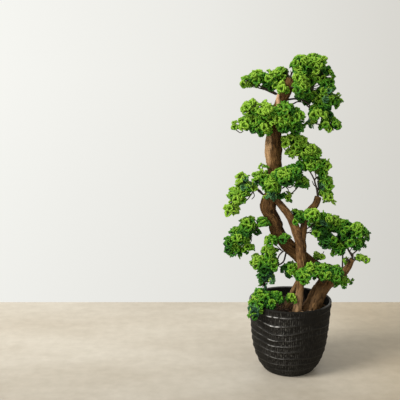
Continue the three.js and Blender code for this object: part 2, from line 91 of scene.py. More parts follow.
# Each mass: how much more light it catches than the rest, painted into its greens as painted
# light, the route of its stem, and its lobes as x, y, z and radius
MASSES = {
    "crown_top": (0.56, [(-21, 5, 1120), (-12, -2, 1148), (14, -8, 1174)], [
        (14, -8, 1178, 40), (72, 5, 1178, 46), (106, 5, 1148, 34), (68, 8, 1130, 27)]),
    "crown_right": (0.22, [(-26, 8, 1092), (20, 18, 1082), (58, 18, 1072)], [
        (58, 18, 1074, 31), (110, 10, 1100, 38), (112, 12, 1048, 44), (150, 8, 1048, 27)]),
    "crown_front": (0.28, [(-26, 0, 1094), (-8, -28, 1095), (14, -40, 1094)], [
        (14, -40, 1092, 34), (12, -40, 1136, 28)]),
    "crown_cascade": (0.25, [
        (-36, 5, 1046), (8, 6, 1050), (50, 5, 1032), (66, 3, 1002), (84, 2, 986)], [
        (86, 2, 1000, 37), (68, -2, 964, 24), (112, 0, 964, 33), (150, 0, 962, 28),
        (122, 4, 1000, 26)]),
    "upper_left": (0.37, [
        (-44, 4, 1052), (-72, 0, 1072), (-100, -4, 1086), (-128, -4, 1096), (-144, 0, 1126)], [
        (-144, 0, 1128, 33), (-100, 5, 1126, 36), (-182, -4, 1118, 26), (-52, 28, 1138, 36),
        (-80, -6, 1105, 25), (-50, -34, 1094, 19)]),
    "mid_left": (0.76, [(-66, 0, 968), (-92, -34, 962), (-132, -46, 956)], [
        (-132, -46, 956, 43), (-110, -48, 1012, 40), (-163, -36, 1024, 36), (-178, -36, 966, 34),
        (-222, -28, 960, 20), (-76, -52, 990, 29)]),
    "mid_right": (0.26, [(-58, 0, 986), (-46, -40, 976), (-44, -54, 966)], [
        (-44, -54, 965, 34), (-44, -56, 1016, 39), (-14, -44, 1000, 38), (2, -34, 958, 31)]),
    "right_arm": (0.58, [(-70, 2, 906), (-34, -4, 900), (6, -8, 898)], [
        (6, -8, 898, 37), (40, -8, 862, 37), (76, -4, 852, 30), (70, -8, 818, 34),
        (112, 0, 810, 27), (-26, -26, 902, 27), (-8, -16, 858, 24)]),
    "stub_spray": (0.5, [(93, -18, 677), (87, -16, 720), (80, -12, 752), (108, -6, 768)], [
        (108, -4, 776, 26), (122, -4, 736, 31), (122, -4, 700, 27), (140, -4, 674, 16)]),
    "centre_left": (0.24, [(-72, -2, 726), (-84, -36, 735), (-90, -50, 742)], [
        (-90, -50, 742, 36), (-124, -34, 762, 35), (-88, -46, 697, 24), (-116, -8, 804, 19)]),
    "centre_right": (-0.12, [(-68, 0, 740), (-52, -36, 752), (-38, -54, 774)], [
        (-38, -54, 776, 38), (-6, -38, 786, 37), (30, -26, 745, 28), (-30, -30, 694, 24),
        (22, -20, 802, 24), (-64, -50, 776, 26)]),
    "left_hanging": (0.74, [(-86, -4, 676), (-128, -8, 706), (-140, -12, 722), (-176, -14, 718)], [
        (-177, -14, 720, 36), (-188, -14, 756, 27), (-211, -14, 691, 37), (-228, -14, 640, 27)]),
    "left_pad": (0.0, [(-72, 2, 590), (-110, -8, 572), (-168, -8, 576)], [
        (-168, -8, 578, 36), (-110, -26, 597, 27), (-200, -8, 538, 40), (-238, -8, 508, 31),
        (-214, -8, 478, 28), (-170, -8, 494, 26)]),
    "left_cascade": (0.1, [
        (-14, 9, 498), (-22, 0, 456), (-32, -8, 430), (-60, -16, 420), (-88, -18, 430)], [
        (-88, -18, 434, 37), (-86, -18, 478, 31), (-80, -34, 526, 27), (-124, -18, 438, 33),
        (-98, -20, 388, 37), (-106, -24, 345, 20)]),
    "trunk_tuft": (0.0, [(-34, 6, 532), (-28, -36, 532)], [(-29, -40, 535, 25)]),
    "pot_cascade": (-0.15, [(25, -42, 292), (10, -50, 302), (-6, -58, 307)], [
        (-6, -58, 307, 22), (-62, -50, 306, 32), (-108, -52, 308, 36), (-92, -84, 290, 33),
        (-140, -94, 294, 28), (-148, -120, 270, 24)]),
    "low_front": (0.0, [(124, 10, 340), (122, -46, 370), (116, -66, 409)], [
        (116, -68, 412, 37), (72, -76, 420, 34), (36, -82, 403, 30), (160, -60, 408, 33),
        (190, -50, 370, 26), (230, -42, 370, 16)]),
    "small_rear": (0.18, [(34, -40, 404), (16, -16, 402), (-3, 0, 402)], [(-3, 0, 403, 36)]),
    "knuckle_tuft": (0.46, [(92, 16, 414), (104, 22, 432), (110, 24, 446)], [(109, 24, 447, 22)]),
    "right_pad_inner": (0.0, [(46, -31, 583), (62, -50, 600), (68, -54, 622)], [
        (68, -56, 624, 33), (17, -24, 615, 32), (116, -30, 606, 33), (100, -18, 566, 34),
        (137, -8, 519, 35)]),
    "right_pad_outer": (0.24, [(235, 2, 432), (233, 2, 449), (213, -2, 488), (218, -2, 522)], [
        (218, -2, 524, 32), (197, 0, 568, 36), (160, 8, 583, 31), (246, 0, 558, 37),
        (280, 0, 538, 24), (182, 4, 484, 32), (254, 0, 503, 28)]),
    "bough_tip": (0.1, [(233, 2, 428), (248, -1, 440), (262, -3, 447)], [
        (262, -3, 448, 19), (284, -4, 446, 18)]),
    "bough_tuft": (0.3, [(231, 2, 424), (212, -16, 445)], [(211, -18, 446, 19)]),
    "rear_crown": (0.0, [(-26, 8, 1105), (4, 60, 1112), (34, 84, 1114)], [
        (34, 88, 1116, 44), (62, 92, 1064, 40)]),
    "rear_upper": (0.0, [(-64, 6, 962), (-70, 60, 976), (-82, 88, 984)], [
        (-82, 92, 986, 45), (-132, 84, 970, 38)]),
    "rear_arm": (0.0, [(-72, 4, 884), (-20, 60, 876), (30, 82, 866)], [(30, 86, 866, 42)]),
    "rear_centre": (0.0, [(-66, 6, 738), (-66, 56, 742), (-66, 80, 744)], [
        (-66, 84, 744, 42), (-8, 78, 752, 37)]),
    "rear_left": (0.0, [(-72, 4, 596), (-110, 60, 560), (-152, 82, 534)], [
        (-152, 86, 536, 36), (-196, 66, 528, 33)]),
    "rear_low": (0.0, [(138, 14, 370), (150, 66, 366), (152, 90, 358)], [
        (152, 94, 362, 38), (196, 78, 352, 31)]),
    "rear_right": (0.0, [(200, 10, 383), (206, 48, 430), (210, 76, 524)], [
        (210, 80, 528, 40), (144, 88, 548, 39), (178, 92, 566, 32)]),
}
LOBE_STRETCH = np.array([1.0, 1.3, 0.9])
LEAF_REACH = 1.02
BURIED_SHARE = 0.88
SPRAY_DROP = 0.2

# ---- Sizes of the fine surface

TUFT_LENGTH = 16.0
TUFT_VARIANTS = 12
# A tuft's foot stays this far inside the box of the solids, so that its tips do too
TUFT_ROOM = np.array([21.5, 21.5, 17.0])
FANS = 8
# Lean of the first fan and the rest of the way to the last, in degrees
FAN_LEAN, FAN_SPAN = 30, 62
FAN_ROLL = 0.35
# Half width, half thickness, and place of the broadest part along the length
BLADE = (9.2, 2.8, 0.74)
TIP = (6.0, 2.7, 0.62)
TIP_SPREAD = 0.58
TIP_STEP = 4.0
# The deepest layer of tufts, as a share of the way out from a lobe's middle; its greens are painted
# deeper as painted shade
HEART_REACH = 0.60
# Room between tufts by how far their place on a lobe faces up, from -1 below to 1 on top
TUFT_SPACING = [(-1.0, 24.0), (-0.7, 21.0), (-0.2, 16.6), (1.0, 15.4)]
CANDIDATES_PER_AREA = 0.25
CLUMP_DEPTH = 0.45
BRANCHLETS = 7
STEM_RADIUS = 3.6
TWIG_RADIUS = 2.6
BRANCHLET_RADIUS = 1.7
STALK_RADIUS = 1.1
GOLDEN_TURN = math.pi * (3 - math.sqrt(5))
MAX_TRIANGLES = 190_000
SHAPE_SEED = 900
COLOUR_SEED = 500
SOIL_SEED = 41

UP = np.array([0.0, 0.0, 1.0])
METRES = 0.001
EYE = np.array([-349.0, -2954.0, 1283.0])
CAMERA_DIP = 11.7


# ---- Camera and lights

def add_object(name, data):
    thing = bpy.data.objects.new(name, data)
    bpy.context.scene.collection.objects.link(thing)
    return thing


def add_camera():
    data = bpy.data.cameras.new("camera")
    data.lens = 72.0
    data.sensor_width = 36.0
    camera = add_object("camera", data)
    camera.location = EYE * METRES
    camera.rotation_euler = (math.radians(90 - CAMERA_DIP), 0, 0)
    bpy.context.scene.camera = camera


# Name, place, target, size, power and colour, in metres and watts
LIGHTS = [
    ("key", (-5.8, -3.6, 5.4), (0, 0, 0.6), 3.8, 820.0, (1.0, 0.98, 0.95)),
    ("fill", (2.4, -2.6, 1.6), (0, 0, 0.6), 2.0, 14.0, (1.0, 0.97, 0.93)),
    ("front", (-1.0, -3.3, 0.9), (0.05, 0, 0.4), 1.6, 26.0, (1.0, 0.97, 0.93)),
]


def add_lights():
    for name, location, target, size, power, colour in LIGHTS:
        data = bpy.data.lights.new(name, "AREA")
        data.shape = "DISK"
        data.size = size
        data.energy = power
        data.color = colour
        light = add_object(name, data)
        light.location = location
        aim = Vector(target) - Vector(location)
        light.rotation_euler = aim.to_track_quat("-Z", "Y").to_euler()
        light.visible_camera = False


# ---- Repeatable noise

def lattice_value(ix, iy, iz, seed):
    """A hash of a lattice point, from 0 to 1."""
    h = (ix * 374761393 + iy * 668265263 + iz * 1442695041 + seed * 974634777) & 0xFFFFFFFF
    h = ((h ^ (h >> 13)) * 1274126177) & 0xFFFFFFFF
    h = h ^ (h >> 16)
    return h / 4294967295.0


def value_noise(points, seed):
    """Smooth noise from 0 to 1 at each point of an (n, 3) array, one cell per unit."""
    cell = np.floor(points).astype(np.int64)
    part = points - cell
    part = part * part * (3 - 2 * part)
    total = np.zeros(len(points))
    for corner in range(8):
        step = np.array([corner & 1, (corner >> 1) & 1, (corner >> 2) & 1])
        weight = np.prod(np.where(step == 1, part, 1 - part), axis=1)
        at = cell + step
        total += weight * lattice_value(at[:, 0], at[:, 1], at[:, 2], seed)
    return total


def layered_noise(points, octaves, seed):
    """Octaves of noise about 0, each half as large and twice as fine as the one before."""
    total = np.zeros(len(points))
    size = 1.0
    for octave in range(octaves):
        total += size * (value_noise(points * 2 ** octave, seed + octave) - 0.5)
        size *= 0.5
    return total


# ---- Meshes

def make_piece(name, vertices, faces, materials, face_materials=None, attributes=None,
               smooth=True):
    """One object on the root body from arrays in millimetres, with faces of one size."""
    mesh = bpy.data.meshes.new(name)
    mesh.vertices.add(len(vertices))
    mesh.vertices.foreach_set("co", (vertices * METRES).astype(np.float32).ravel())
    mesh.loops.add(faces.size)
    mesh.loops.foreach_set("vertex_index", faces.astype(np.int32).ravel())
    mesh.polygons.add(len(faces))
    starts = np.arange(0, faces.size, faces.shape[1], dtype=np.int32)
    mesh.polygons.foreach_set("loop_start", starts)
    mesh.polygons.foreach_set("use_smooth", np.full(len(faces), smooth))
    for material in materials:
        mesh.materials.append(material)
    if face_materials is not None:
        mesh.polygons.foreach_set("material_index", face_materials.astype(np.int32))
    for key, values in (attributes or {}).items():
        values = np.asarray(values, np.float32)
        kind, field = ("FLOAT_VECTOR", "vector") if values.ndim == 2 else ("FLOAT", "value")
        mesh.attributes.new(key, kind, "POINT").data.foreach_set(field, values.ravel())
    mesh.update(calc_edges=True)
    mesh.validate()
    piece = add_object(name, mesh)
    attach(piece, "root")
    return piece


def catmull_rom(route, steps):
    """Points on a smooth centripetal curve through a route, with its radii carried along."""
    route = np.asarray(route, float)
    padded = np.vstack([2 * route[0] - route[1], route, 2 * route[-1] - route[-2]])
    out = []
    for i in range(len(route) - 1):
        p0, p1, p2, p3 = padded[i:i + 4]
        d0, d1, d2 = (
            max(np.linalg.norm((b - a)[:3]), 1e-4) ** 0.5 for a, b in ((p0, p1), (p1, p2), (p2, p3))
        )
        t1 = ((p1 - p0) / d0 - (p2 - p0) / (d0 + d1) + (p2 - p1) / d1) * d1
        t2 = ((p2 - p1) / d1 - (p3 - p1) / (d1 + d2) + (p3 - p2) / d2) * d1
        c2 = -3 * p1 + 3 * p2 - 2 * t1 - t2
        c3 = 2 * p1 - 2 * p2 + t1 + t2
        t = np.arange(steps)[:, None] / steps
        out.append(p1 + t1 * t + c2 * t * t + c3 * t ** 3)
    out.append(route[-1:])
    return np.vstack(out)


def unit(vectors):
    return vectors / np.maximum(np.linalg.norm(vectors, axis=-1, keepdims=True), 1e-9)


def frames_along(points):
    """Two normals at each point, turning as little as they can."""
    tangents = unit(np.gradient(points, axis=0))
    side = unit(np.cross([0.1, 1.0, 0.05], tangents[0]))
    normals = []
    for tangent in tangents:
        side = unit(side - tangent * np.dot(side, tangent))
        normals.append(side)
    normals = np.array(normals)
    return normals, np.cross(tangents, normals)


def spun(radii, columns):
    """A ring of vertices for each radius: the cosine and sine of their turn and their radius."""
    turn = np.arange(columns) * 2 * math.pi / columns
    c, s = (np.tile(f(turn), len(radii)) for f in (np.cos, np.sin))
    return c, s, np.repeat(radii, columns)


def clamped(value):
    return np.clip(value, 0, 1)


def bell(value, middle, width):
    return np.exp(-((value - middle) / width) ** 2)


def grid_quads(rows, columns):
    """Quads between closed rings of vertices."""
    row = np.arange(rows - 1)[:, None]
    column = np.arange(columns)[None, :]
    after = (column + 1) % columns
    a = row * columns + column
    b = row * columns + after
    return np.stack([a, b, b + columns, a + columns], axis=-1).reshape(-1, 4)


def halved(quads):
    return np.vstack([quads[:, [0, 1, 2]], quads[:, [0, 2, 3]]])


def sleeve(route, sides, steps):
    """Rings round a smooth route: its points and, for each vertex, the cosine and sine of its
    turn, its way out and its radius."""
    rows = catmull_rom(route, steps)
    centres = rows[:, :3]
    c, s, radii = spun(rows[:, 3], sides)
    normals, binormals = (np.repeat(ways, sides, 0) for ways in frames_along(centres))
    return centres, c, s, c[:, None] * normals + s[:, None] * binormals, radii


def tube(route, sides, steps):
    """A tapering open tube of triangles along a route of x, y, z and radius."""
    centres, _, _, ways, radii = sleeve(route, sides, steps)
    vertices = np.repeat(centres, sides, 0) + ways * radii[:, None]
    return vertices, halved(grid_quads(len(centres), sides))


def joined(parts):
    """Several (vertices, triangles) pairs as one."""
    vertices, triangles, offset = [], [], 0
    for v, t in parts:
        vertices.append(v)
        triangles.append(t + offset)
        offset += len(v)
    return np.vstack(vertices), np.vstack(triangles)


# ---- Materials
# A socket knows its node tree, so the tree is named only where a chain of nodes begins or ends

def is_socket(value):
    return isinstance(value, bpy.types.NodeSocket)


def add_node(tree, kind, inputs=None, **settings):
    """A node whose inputs are linked to sockets or hold plain values."""
    node = tree.nodes.new("ShaderNode" + kind)
    for key, value in settings.items():
        setattr(node, key, value)
    for key, value in (inputs or {}).items():
        if is_socket(value):
            tree.links.new(value, node.inputs[key])
        else:
            node.inputs[key].default_value = value
    return node


def place(tree, kind="Object"):
    return add_node(tree, "TexCoord").outputs[kind]


def attribute(tree, name, output="Fac"):
    return add_node(tree, "Attribute", attribute_name=name).outputs[output]


def axes(vector):
    return add_node(vector.id_data, "SeparateXYZ", {"Vector": vector}).outputs


def noise_node(vector, scale, detail=4.0, roughness=0.55, distortion=0.0):
    return add_node(vector.id_data, "TexNoise", {
        "Vector": vector, "Scale": scale, "Detail": detail, "Roughness": roughness,
        "Distortion": distortion,
    }).outputs["Fac"]


def streaks(vector, scale, *noise):
    """Noise over a scaled space: drawn out along an axis where the scale is below 1."""
    node = add_node(vector.id_data, "Mapping", {"Vector": vector, "Scale": scale})
    return noise_node(node.outputs["Vector"], *noise)


def ranged(value, low, high, source_low=0.0, source_high=1.0, **settings):
    return add_node(value.id_data, "MapRange", {
        "Value": value, "From Min": source_low, "From Max": source_high,
        "To Min": low, "To Max": high,
    }, **settings).outputs["Result"]


def arithmetic(operation, *values):
    inputs = dict(enumerate(values))
    return add_node(values[0].id_data, "Math", inputs, operation=operation).outputs[0]


def add_ramp(factor, stops):
    node = add_node(factor.id_data, "ValToRGB", {"Fac": factor})
    elements = node.color_ramp.elements
    while len(elements) < len(stops):
        elements.new(0.5)
    for element, (position, colour) in zip(elements, stops):
        element.position = position
        element.color = (*colour, 1.0)
    return node.outputs["Color"]


def grey(value):
    inputs = {"Red": value, "Green": value, "Blue": value}
    return add_node(value.id_data, "CombineColor", inputs).outputs["Color"]


def blended(factor, a, b, mode="MIX"):
    tree = next(value.id_data for value in (factor, a, b) if is_socket(value))
    a, b = (value if is_socket(value) else (*value, 1.0) for value in (a, b))
    inputs = {"Factor": factor, 6: a, 7: b}
    return add_node(tree, "Mix", inputs, data_type="RGBA", blend_type=mode).outputs[2]


def multiplied(colour, other):
    return blended(1.0, colour, other, "MULTIPLY")


def bumped(height, strength, distance, normal=None):
    inputs = {"Height": height, "Strength": strength, "Distance": distance}
    if normal is not None:
        inputs["Normal"] = normal
    return add_node(height.id_data, "Bump", inputs).outputs["Normal"]


def new_material(name):
    material = bpy.data.materials.new(name)
    material.use_nodes = True
    material.node_tree.nodes.clear()
    return material, material.node_tree


def add_shader(tree, colour, roughness, specular=0.5, normal=None):
    inputs = {"Base Color": colour, "Roughness": roughness, "Specular IOR Level": specular}
    if normal is not None:
        inputs["Normal"] = normal
    shader = add_node(tree, "BsdfPrincipled", inputs)
    add_node(tree, "OutputMaterial", {"Surface": shader.outputs["BSDF"]})


def leaf_material(name, colour, roughness):
    material, tree = new_material(name)
    where = place(tree)
    wax = noise_node(where, 60.0, 2.0)
    grain = noise_node(where, 420.0, 2.0)
    uneven = ranged(wax, roughness - 0.08, roughness + 0.14)
    add_shader(tree, (*colour, 1.0), uneven, 0.2, bumped(grain, 0.3, 0.0005))
    return material


def bark_material(name, dark, mid, light):
    """Fibres run along the limb: the grain attribute holds its straightened coordinates."""
    material, tree = new_material(name)
    grain = attribute(tree, "grain", "Vector")
    fibres = streaks(grain, (1.0, 1.0, 0.16), 520.0, 5.0, 0.65, 0.3)
    strands = streaks(grain, (1.0, 1.0, 0.22), 170.0, 4.0, 0.6, 0.5)
    patches = streaks(grain, (1.0, 1.0, 0.6), 26.0, 3.0)
    tone = arithmetic("ADD", arithmetic("ADD", fibres, strands), patches)
    tone = ranged(tone, 0.0, 1.0, 1.17, 1.83)
    wood = add_ramp(tone, [(0.05, dark), (0.45, mid), (0.95, light)])
    # Painted light, partly wear: the bark blends to a pale tan where this attribute is high
    wood = blended(attribute(tree, "worn_and_lit"), wood, WORN_LIT_WOOD)
    # Painted shade: darker where the relief sinks, in crevices, the trunk's bend and the stem's
    # seam
    crevice_shade = tuple(c * 0.7 for c in dark)
    raised = ranged(attribute(tree, "relief"), 0.0, 1.0, -2.1, -0.25)
    coarse = bumped(strands, 0.6, 0.0016)
    add_shader(tree, blended(raised, crevice_shade, wood), ranged(strands, 0.68, 0.95), 0.15,
               bumped(fibres, 0.6, 0.0010, coarse))
    return material


def flecked_material(name, stretch, noise, stops, roughness, bump):
    """A surface whose colour and relief both follow one noise."""
    material, tree = new_material(name)
    flecks = streaks(place(tree), (1.0, 1.0, stretch), *noise)
    add_shader(tree, add_ramp(flecks, stops), roughness, normal=bumped(flecks, *bump))
    return material


def cut_wood_material():
    return flecked_material("cut_wood_face", 0.3, (260.0, 4.0, 0.6, 0.5), [
        (0.25, (0.10, 0.052, 0.024)), (0.55, (0.25, 0.135, 0.062)), (0.8, (0.38, 0.22, 0.11)),
    ], 0.8, (0.5, 0.001))


def twig_material():
    return flecked_material("twig_bark", 1.0, (300.0,), [
        (0.3, (0.012, 0.008, 0.006)), (0.55, (0.035, 0.021, 0.013)), (0.8, (0.085, 0.05, 0.028)),
    ], 0.7, (0.6, 0.0008))


def pot_material():
    """Near-black clay: short upright combed marks between the ridges, duller in the hollows, with
    the crests painted lighter as painted light and painted highlights on the front left crests and
    the rim.
    """
    material, tree = new_material("pot_clay")
    where = place(tree)
    relief = attribute(tree, "relief")
    grit = noise_node(where, 900.0, 3.0)
    # Upright strokes of a comb, evenly spaced round the pot, each broken off at random
    apart = axes(where)
    turn = arithmetic("ARCTAN2", apart["Y"], apart["X"])
    waver = streaks(where, (1.0, 1.0, 0.4), 60.0, 1.0)
    waver = arithmetic("MULTIPLY", waver, 9.0)
    turn = arithmetic("MULTIPLY_ADD", turn, COMB_STROKES, waver)
    lines = ranged(arithmetic("SINE", turn), 0.0, 1.0, -0.3, 0.8)
    breaks = streaks(where, (1.0, 1.0, 0.55), 150.0, 2.0, 0.5)
    marks = arithmetic("MULTIPLY", lines, ranged(breaks, 0.0, 1.0, 0.42, 0.6))
    stroke = arithmetic("MULTIPLY", marks, attribute(tree, "comb"))
    clay = add_ramp(noise_node(where, 28.0, 3.0), [
        (0.3, (0.0028, 0.0023, 0.0013)), (0.7, (0.0068, 0.0058, 0.0036)),
    ])
    # Painted light: the crests are painted lighter than the hollows
    crest = ranged(relief, 0.0, 1.0, 0.40, 1.0)
    clay = blended(crest, clay, (0.023, 0.021, 0.017))
    clay = blended(stroke, clay, (0.080, 0.076, 0.066))
    # Painted highlights on the front left crests and the rim
    clay = blended(attribute(tree, "painted_highlight"), clay, (0.44, 0.435, 0.42))
    dull = arithmetic("ADD", ranged(relief, 0.72, 0.25, 0.0, 0.8), ranged(grit, -0.05, 0.06))
    combed = bumped(stroke, 1.0, 0.003)
    add_shader(tree, clay, dull, 0.18, bumped(grit, 0.5, 0.0008, combed))
    return material


def mulch_material():
    material, tree = new_material("bark_mulch")
    flecks = noise_node(place(tree), 330.0)
    colour = add_ramp(attribute(tree, "tone"), [
        (0.0, (0.02, 0.012, 0.007)), (0.4, (0.11, 0.060, 0.032)), (0.75, (0.28, 0.160, 0.082)),
        (1.0, (0.46, 0.30, 0.17)),
    ])
    shade = add_ramp(flecks, [(0.3, (0.45, 0.45, 0.45)), (0.7, (1.0, 1.0, 1.0))])
    add_shader(tree, multiplied(colour, shade), 0.9, normal=bumped(flecks, 0.8, 0.0015))
    return material


def floor_material():
    """Pale and faintly clouded; darker near the camera as painted shade, browner to the right as
    painted shadow.
    """
    material, tree = new_material("pale_floor")
    where = place(tree)
    cloud = streaks(where, (0.35, 1.0, 1.0), 3.0, 5.0, 0.6)
    colour = add_ramp(cloud, [(0.3, (0.485, 0.425, 0.335)), (0.7, (0.64, 0.59, 0.50))])
    apart = axes(where)
    # Painted shade: darker towards the camera
    colour = multiplied(colour, grey(ranged(apart["Y"], 0.50, 1.0, -1.0, 0.45)))
    # Painted shadow: browner and darker to the right
    right = ranged(apart["X"], 0.0, 1.0, -0.1, 0.45)
    colour = multiplied(colour, blended(right, (1.0, 1.0, 1.0), (0.89, 0.83, 0.73)))
    speckle = add_ramp(noise_node(where, 22.0, 4.0, 0.6), [
        (0.3, (0.93, 0.925, 0.91)), (0.7, (1.05, 1.05, 1.05)),
    ])
    add_shader(tree, multiplied(colour, speckle), ranged(cloud, 0.35, 0.5), 0.35)
    return material


# ---- World and floor

def set_world():
    """A bright wall behind the tree, duller to the right and below, and a dimmer room."""
    world = bpy.data.worlds.new("studio")
    world.use_nodes = True
    tree = world.node_tree
    tree.nodes.clear()
    apart = axes(place(tree, "Generated"))
    wall = add_ramp(ranged(apart["X"], 0.0, 1.0, -0.26, 0.28), [
        (0.0, (0.93, 0.93, 0.89)), (0.5, (0.83, 0.825, 0.785)), (1.0, (0.665, 0.65, 0.605)),
    ])
    wall = multiplied(wall, grey(ranged(apart["Z"], 0.93, 1.0, -0.35, -0.05)))
    overhead = ranged(apart["Z"], 0.0, 1.0, 0.2, 0.9)
    room = blended(overhead, (0.27, 0.27, 0.265), (0.62, 0.62, 0.60))
    behind = ranged(apart["Y"], 0.0, 1.0, 0.35, 0.75, interpolation_type="SMOOTHSTEP")
    colour = blended(behind, room, wall)
    light = add_node(tree, "Background", {"Color": colour, "Strength": 1.0})
    add_node(tree, "OutputWorld", {"Surface": light.outputs["Background"]})
    bpy.context.scene.world = world


def add_floor():
    """A plane just under the pot, from in front of the camera back to the wall's foot."""
    front, back, half, level = -5000.0, 779.0, 6000.0, -0.5
    corners = [(-half, front), (half, front), (half, back), (-half, back)]
    mesh = bpy.data.meshes.new("floor")
    mesh.from_pydata([(x * METRES, y * METRES, level * METRES) for x, y in corners], [],
                     [(0, 1, 2, 3)])
    mesh.materials.append(floor_material())
    floor = add_object("floor", mesh)


# ---- Pot and soil

# The camera stands this many degrees to the left of -Y
CAMERA_TURN = 6.7
POT_RADIUS = 158.9
RIDGES = 10
COMB_STROKES = 118.0
RIDGE_DEPTH = 2.3
POT_COLUMNS = 360
POT_WALL_ROWS = 170
# The ridges sag in two swags: share of the sag at turns from the camera side, and its depth
SAG_TURNS = [-180, -150, -118, -86, -60, -46, -34, -24, -5, 12, 34, 60, 96, 132, 160, 180]
SAG_SHARES = [0.3, 0.9, 0.8, 0.1, 0.0, 0.2, 0.65, 1.0, 0.85, 0.5, 0.15, 0.3, 0.9, 0.6, 0.1, 0.3]
SAG_HEIGHTS = [0, 50, 110, 150, 190, 220, 245, 282]
SAG_DEPTHS = [0, 3, 9, 18, 23, 15, 6, 0]


def outline_radius(z):
    """Smooth outer radius of the pot's wall at each height."""
    radii, heights = np.array(POT_OUTLINE, float).T
    rows = catmull_rom(np.stack([radii, np.zeros_like(radii), heights, radii], axis=1), 12)
    return np.interp(z, rows[:, 2], rows[:, 0])


def turn_from_camera(x, y):
    return (np.degrees(np.arctan2(x, -y)) + CAMERA_TURN + 180) % 360 - 180


def around_noise(turn, z, cell_turns, cell_height, seed):
    """Noise from -0.5 to 0.5 that closes on itself round the pot."""
    angle = np.radians(turn)
    size = cell_turns / (2 * math.pi)
    at = np.stack([np.cos(angle) * size, np.sin(angle) * size, z / cell_height], axis=1)
    return value_noise(at + 50.0, seed) - 0.5


def ridge_shift(turn, z):
    """How far the ridges hang below level, with a waver."""
    share = sum(np.interp((turn + step + 180) % 360 - 180, SAG_TURNS, SAG_SHARES)
                for step in (-5, 0, 5)) / 3
    sag = share * np.interp(z, SAG_HEIGHTS, SAG_DEPTHS)
    return sag + 12.0 * around_noise(turn, z, 9, 45, 4) + 4.0 * around_noise(turn, z, 24, 25, 6)


def ridge_height(turn, z):
    """Narrow crests over wide hollows, weaker in places, fading out at the rim and the foot."""
    pitch = POT_HEIGHT / RIDGES
    phase = 2 * math.pi * (z - 8 + ridge_shift(turn, z)) / pitch
    wave = 0.5 + 0.5 * np.cos(phase + 0.7 * np.sin(phase))
    fade = clamped(np.minimum(z / 24.0, (POT_HEIGHT - 6 - z) / 12.0))
    right = 1 - 0.45 * bell(turn, 45, 40.0)
    uneven = np.clip(right + 1.4 * around_noise(turn, z, 14, 40, 8), 0.15, 1.3)
    uneven = uneven * np.interp(z, [20, 150], [0.55, 1.0])
    sides = 1 - 0.45 * clamped((np.abs(turn) - 50) / 30.0)
    return (2 * wave ** 2.6 - 1) * fade * uneven * sides


def add_pot():
    wall_z = np.linspace(4.0, 274.0, POT_WALL_ROWS)
    wall = np.stack([outline_radius(wall_z), wall_z], axis=1)
    rim = [(POT_RADIUS, 277.0), (158.3, 280.0), (156.6, 281.7), (154.0, 282.0), (151.6, 281.6),
           (150.2, 280.0), (149.8, 277.0)]
    inner_z = np.linspace(270.0, 60.0, 24)
    inner = np.stack([outline_radius(inner_z) - POT_WALL, inner_z], axis=1)
    foot = [(0.1, 0.0), (60.0, 0.0), (POT_FOOT_RADIUS, 0.0), (93.0, 1.2)]
    profile = np.vstack([foot, wall, rim, inner, [(100, POT_FLOOR), (0.1, POT_FLOOR)]])
    outer = np.zeros(len(profile), bool)
    outer[len(foot):len(foot) + POT_WALL_ROWS] = True
    x, y, radius = spun(profile[:, 0], POT_COLUMNS)
    z, is_outer = np.repeat(profile[:, 1], POT_COLUMNS), np.repeat(outer, POT_COLUMNS)
    facing = turn_from_camera(x, y)
    relief = np.where(is_outer, ridge_height(facing, z), 0.0)
    around = np.stack([x * radius, y * radius, z], axis=1)
    lumps = layered_noise(around / 26.0, 3, 5)
    fade = clamped((POT_HEIGHT - z) / 12.0)
    bulge = np.where(is_outer, RIDGE_DEPTH * relief + 1.1 * lumps * fade - 0.5 * fade, 0.0)
    inside = (radius > 120) & ~is_outer & (z < 275)
    bulge = bulge + np.where(inside, 1.5 * layered_noise(around / 14.0, 2, 9), 0.0)
    radius = np.minimum(radius + bulge, POT_RADIUS)
    # The comb's strokes are strongest in front, between the crests
    comb = 0.22 + 0.78 * bell(facing, -5, 17.0)
    comb = comb + 0.6 * around_noise(facing, z, 14, 30, 3)
    comb = np.clip(comb, 0.1, 1.2) * np.clip(0.8 - 0.9 * relief, 0.1, 1.0)
    # Painted highlights: crests catch the light on the front left, in broken lengths notched by the
    # comb
    broken = clamped(0.55 + 3.2 * around_noise(facing, z, 30, 11, 12))
    notched = clamped(0.62 + 2.4 * around_noise(facing, z, 125, 16, 15))
    painted_highlight = clamped((relief - 0.35) / 0.35) * bell(facing, -26, 19.0)
    painted_highlight = painted_highlight * broken * notched * np.interp(z, [20, 130, 170], [0.1, 0.55, 1.0])
    # and so does the rim at both sides, as a painted highlight too
    rim_light = 0.3 * clamped((z - 277.5) / 3.0) * clamped((np.abs(facing) - 45) / 30.0)
    painted_highlight = np.maximum(painted_highlight, rim_light)
    comb = np.where(is_outer, comb, 0.1)
    vertices = np.stack([x * radius, y * radius, z], axis=1)
    piece = make_piece(
        "pot_wall", vertices, grid_quads(len(profile), POT_COLUMNS), [pot_material()],
        attributes={"relief": relief, "comb": comb, "painted_highlight": painted_highlight},
    )
    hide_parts("pot")


def chip(rng):
    """A splinter of bark: a bent, tapering box."""
    length, width, thick = rng.uniform(7, 24), rng.uniform(3, 8), rng.uniform(1.5, 3.5)
    x = np.array([-0.5, -0.15, 0.2, 0.5]) * length
    narrow = np.array([0.45, 1.0, 0.9, 0.35]) * rng.uniform(0.8, 1.1, 4)
    bend = np.array([0.0, 0.8, 0.6, -0.4]) * thick * rng.uniform(-1, 1)
    corners = np.array([(1, 1), (-1, 1), (-1, -1), (1, -1)])
    vertices = np.array([
        (x[i], c[0] * width * narrow[i] / 2, bend[i] + c[1] * thick * narrow[i] / 2)
        for i in range(4) for c in corners
    ])
    return vertices, halved(np.vstack([grid_quads(4, 4), [(3, 2, 1, 0)], [(12, 13, 14, 15)]]))


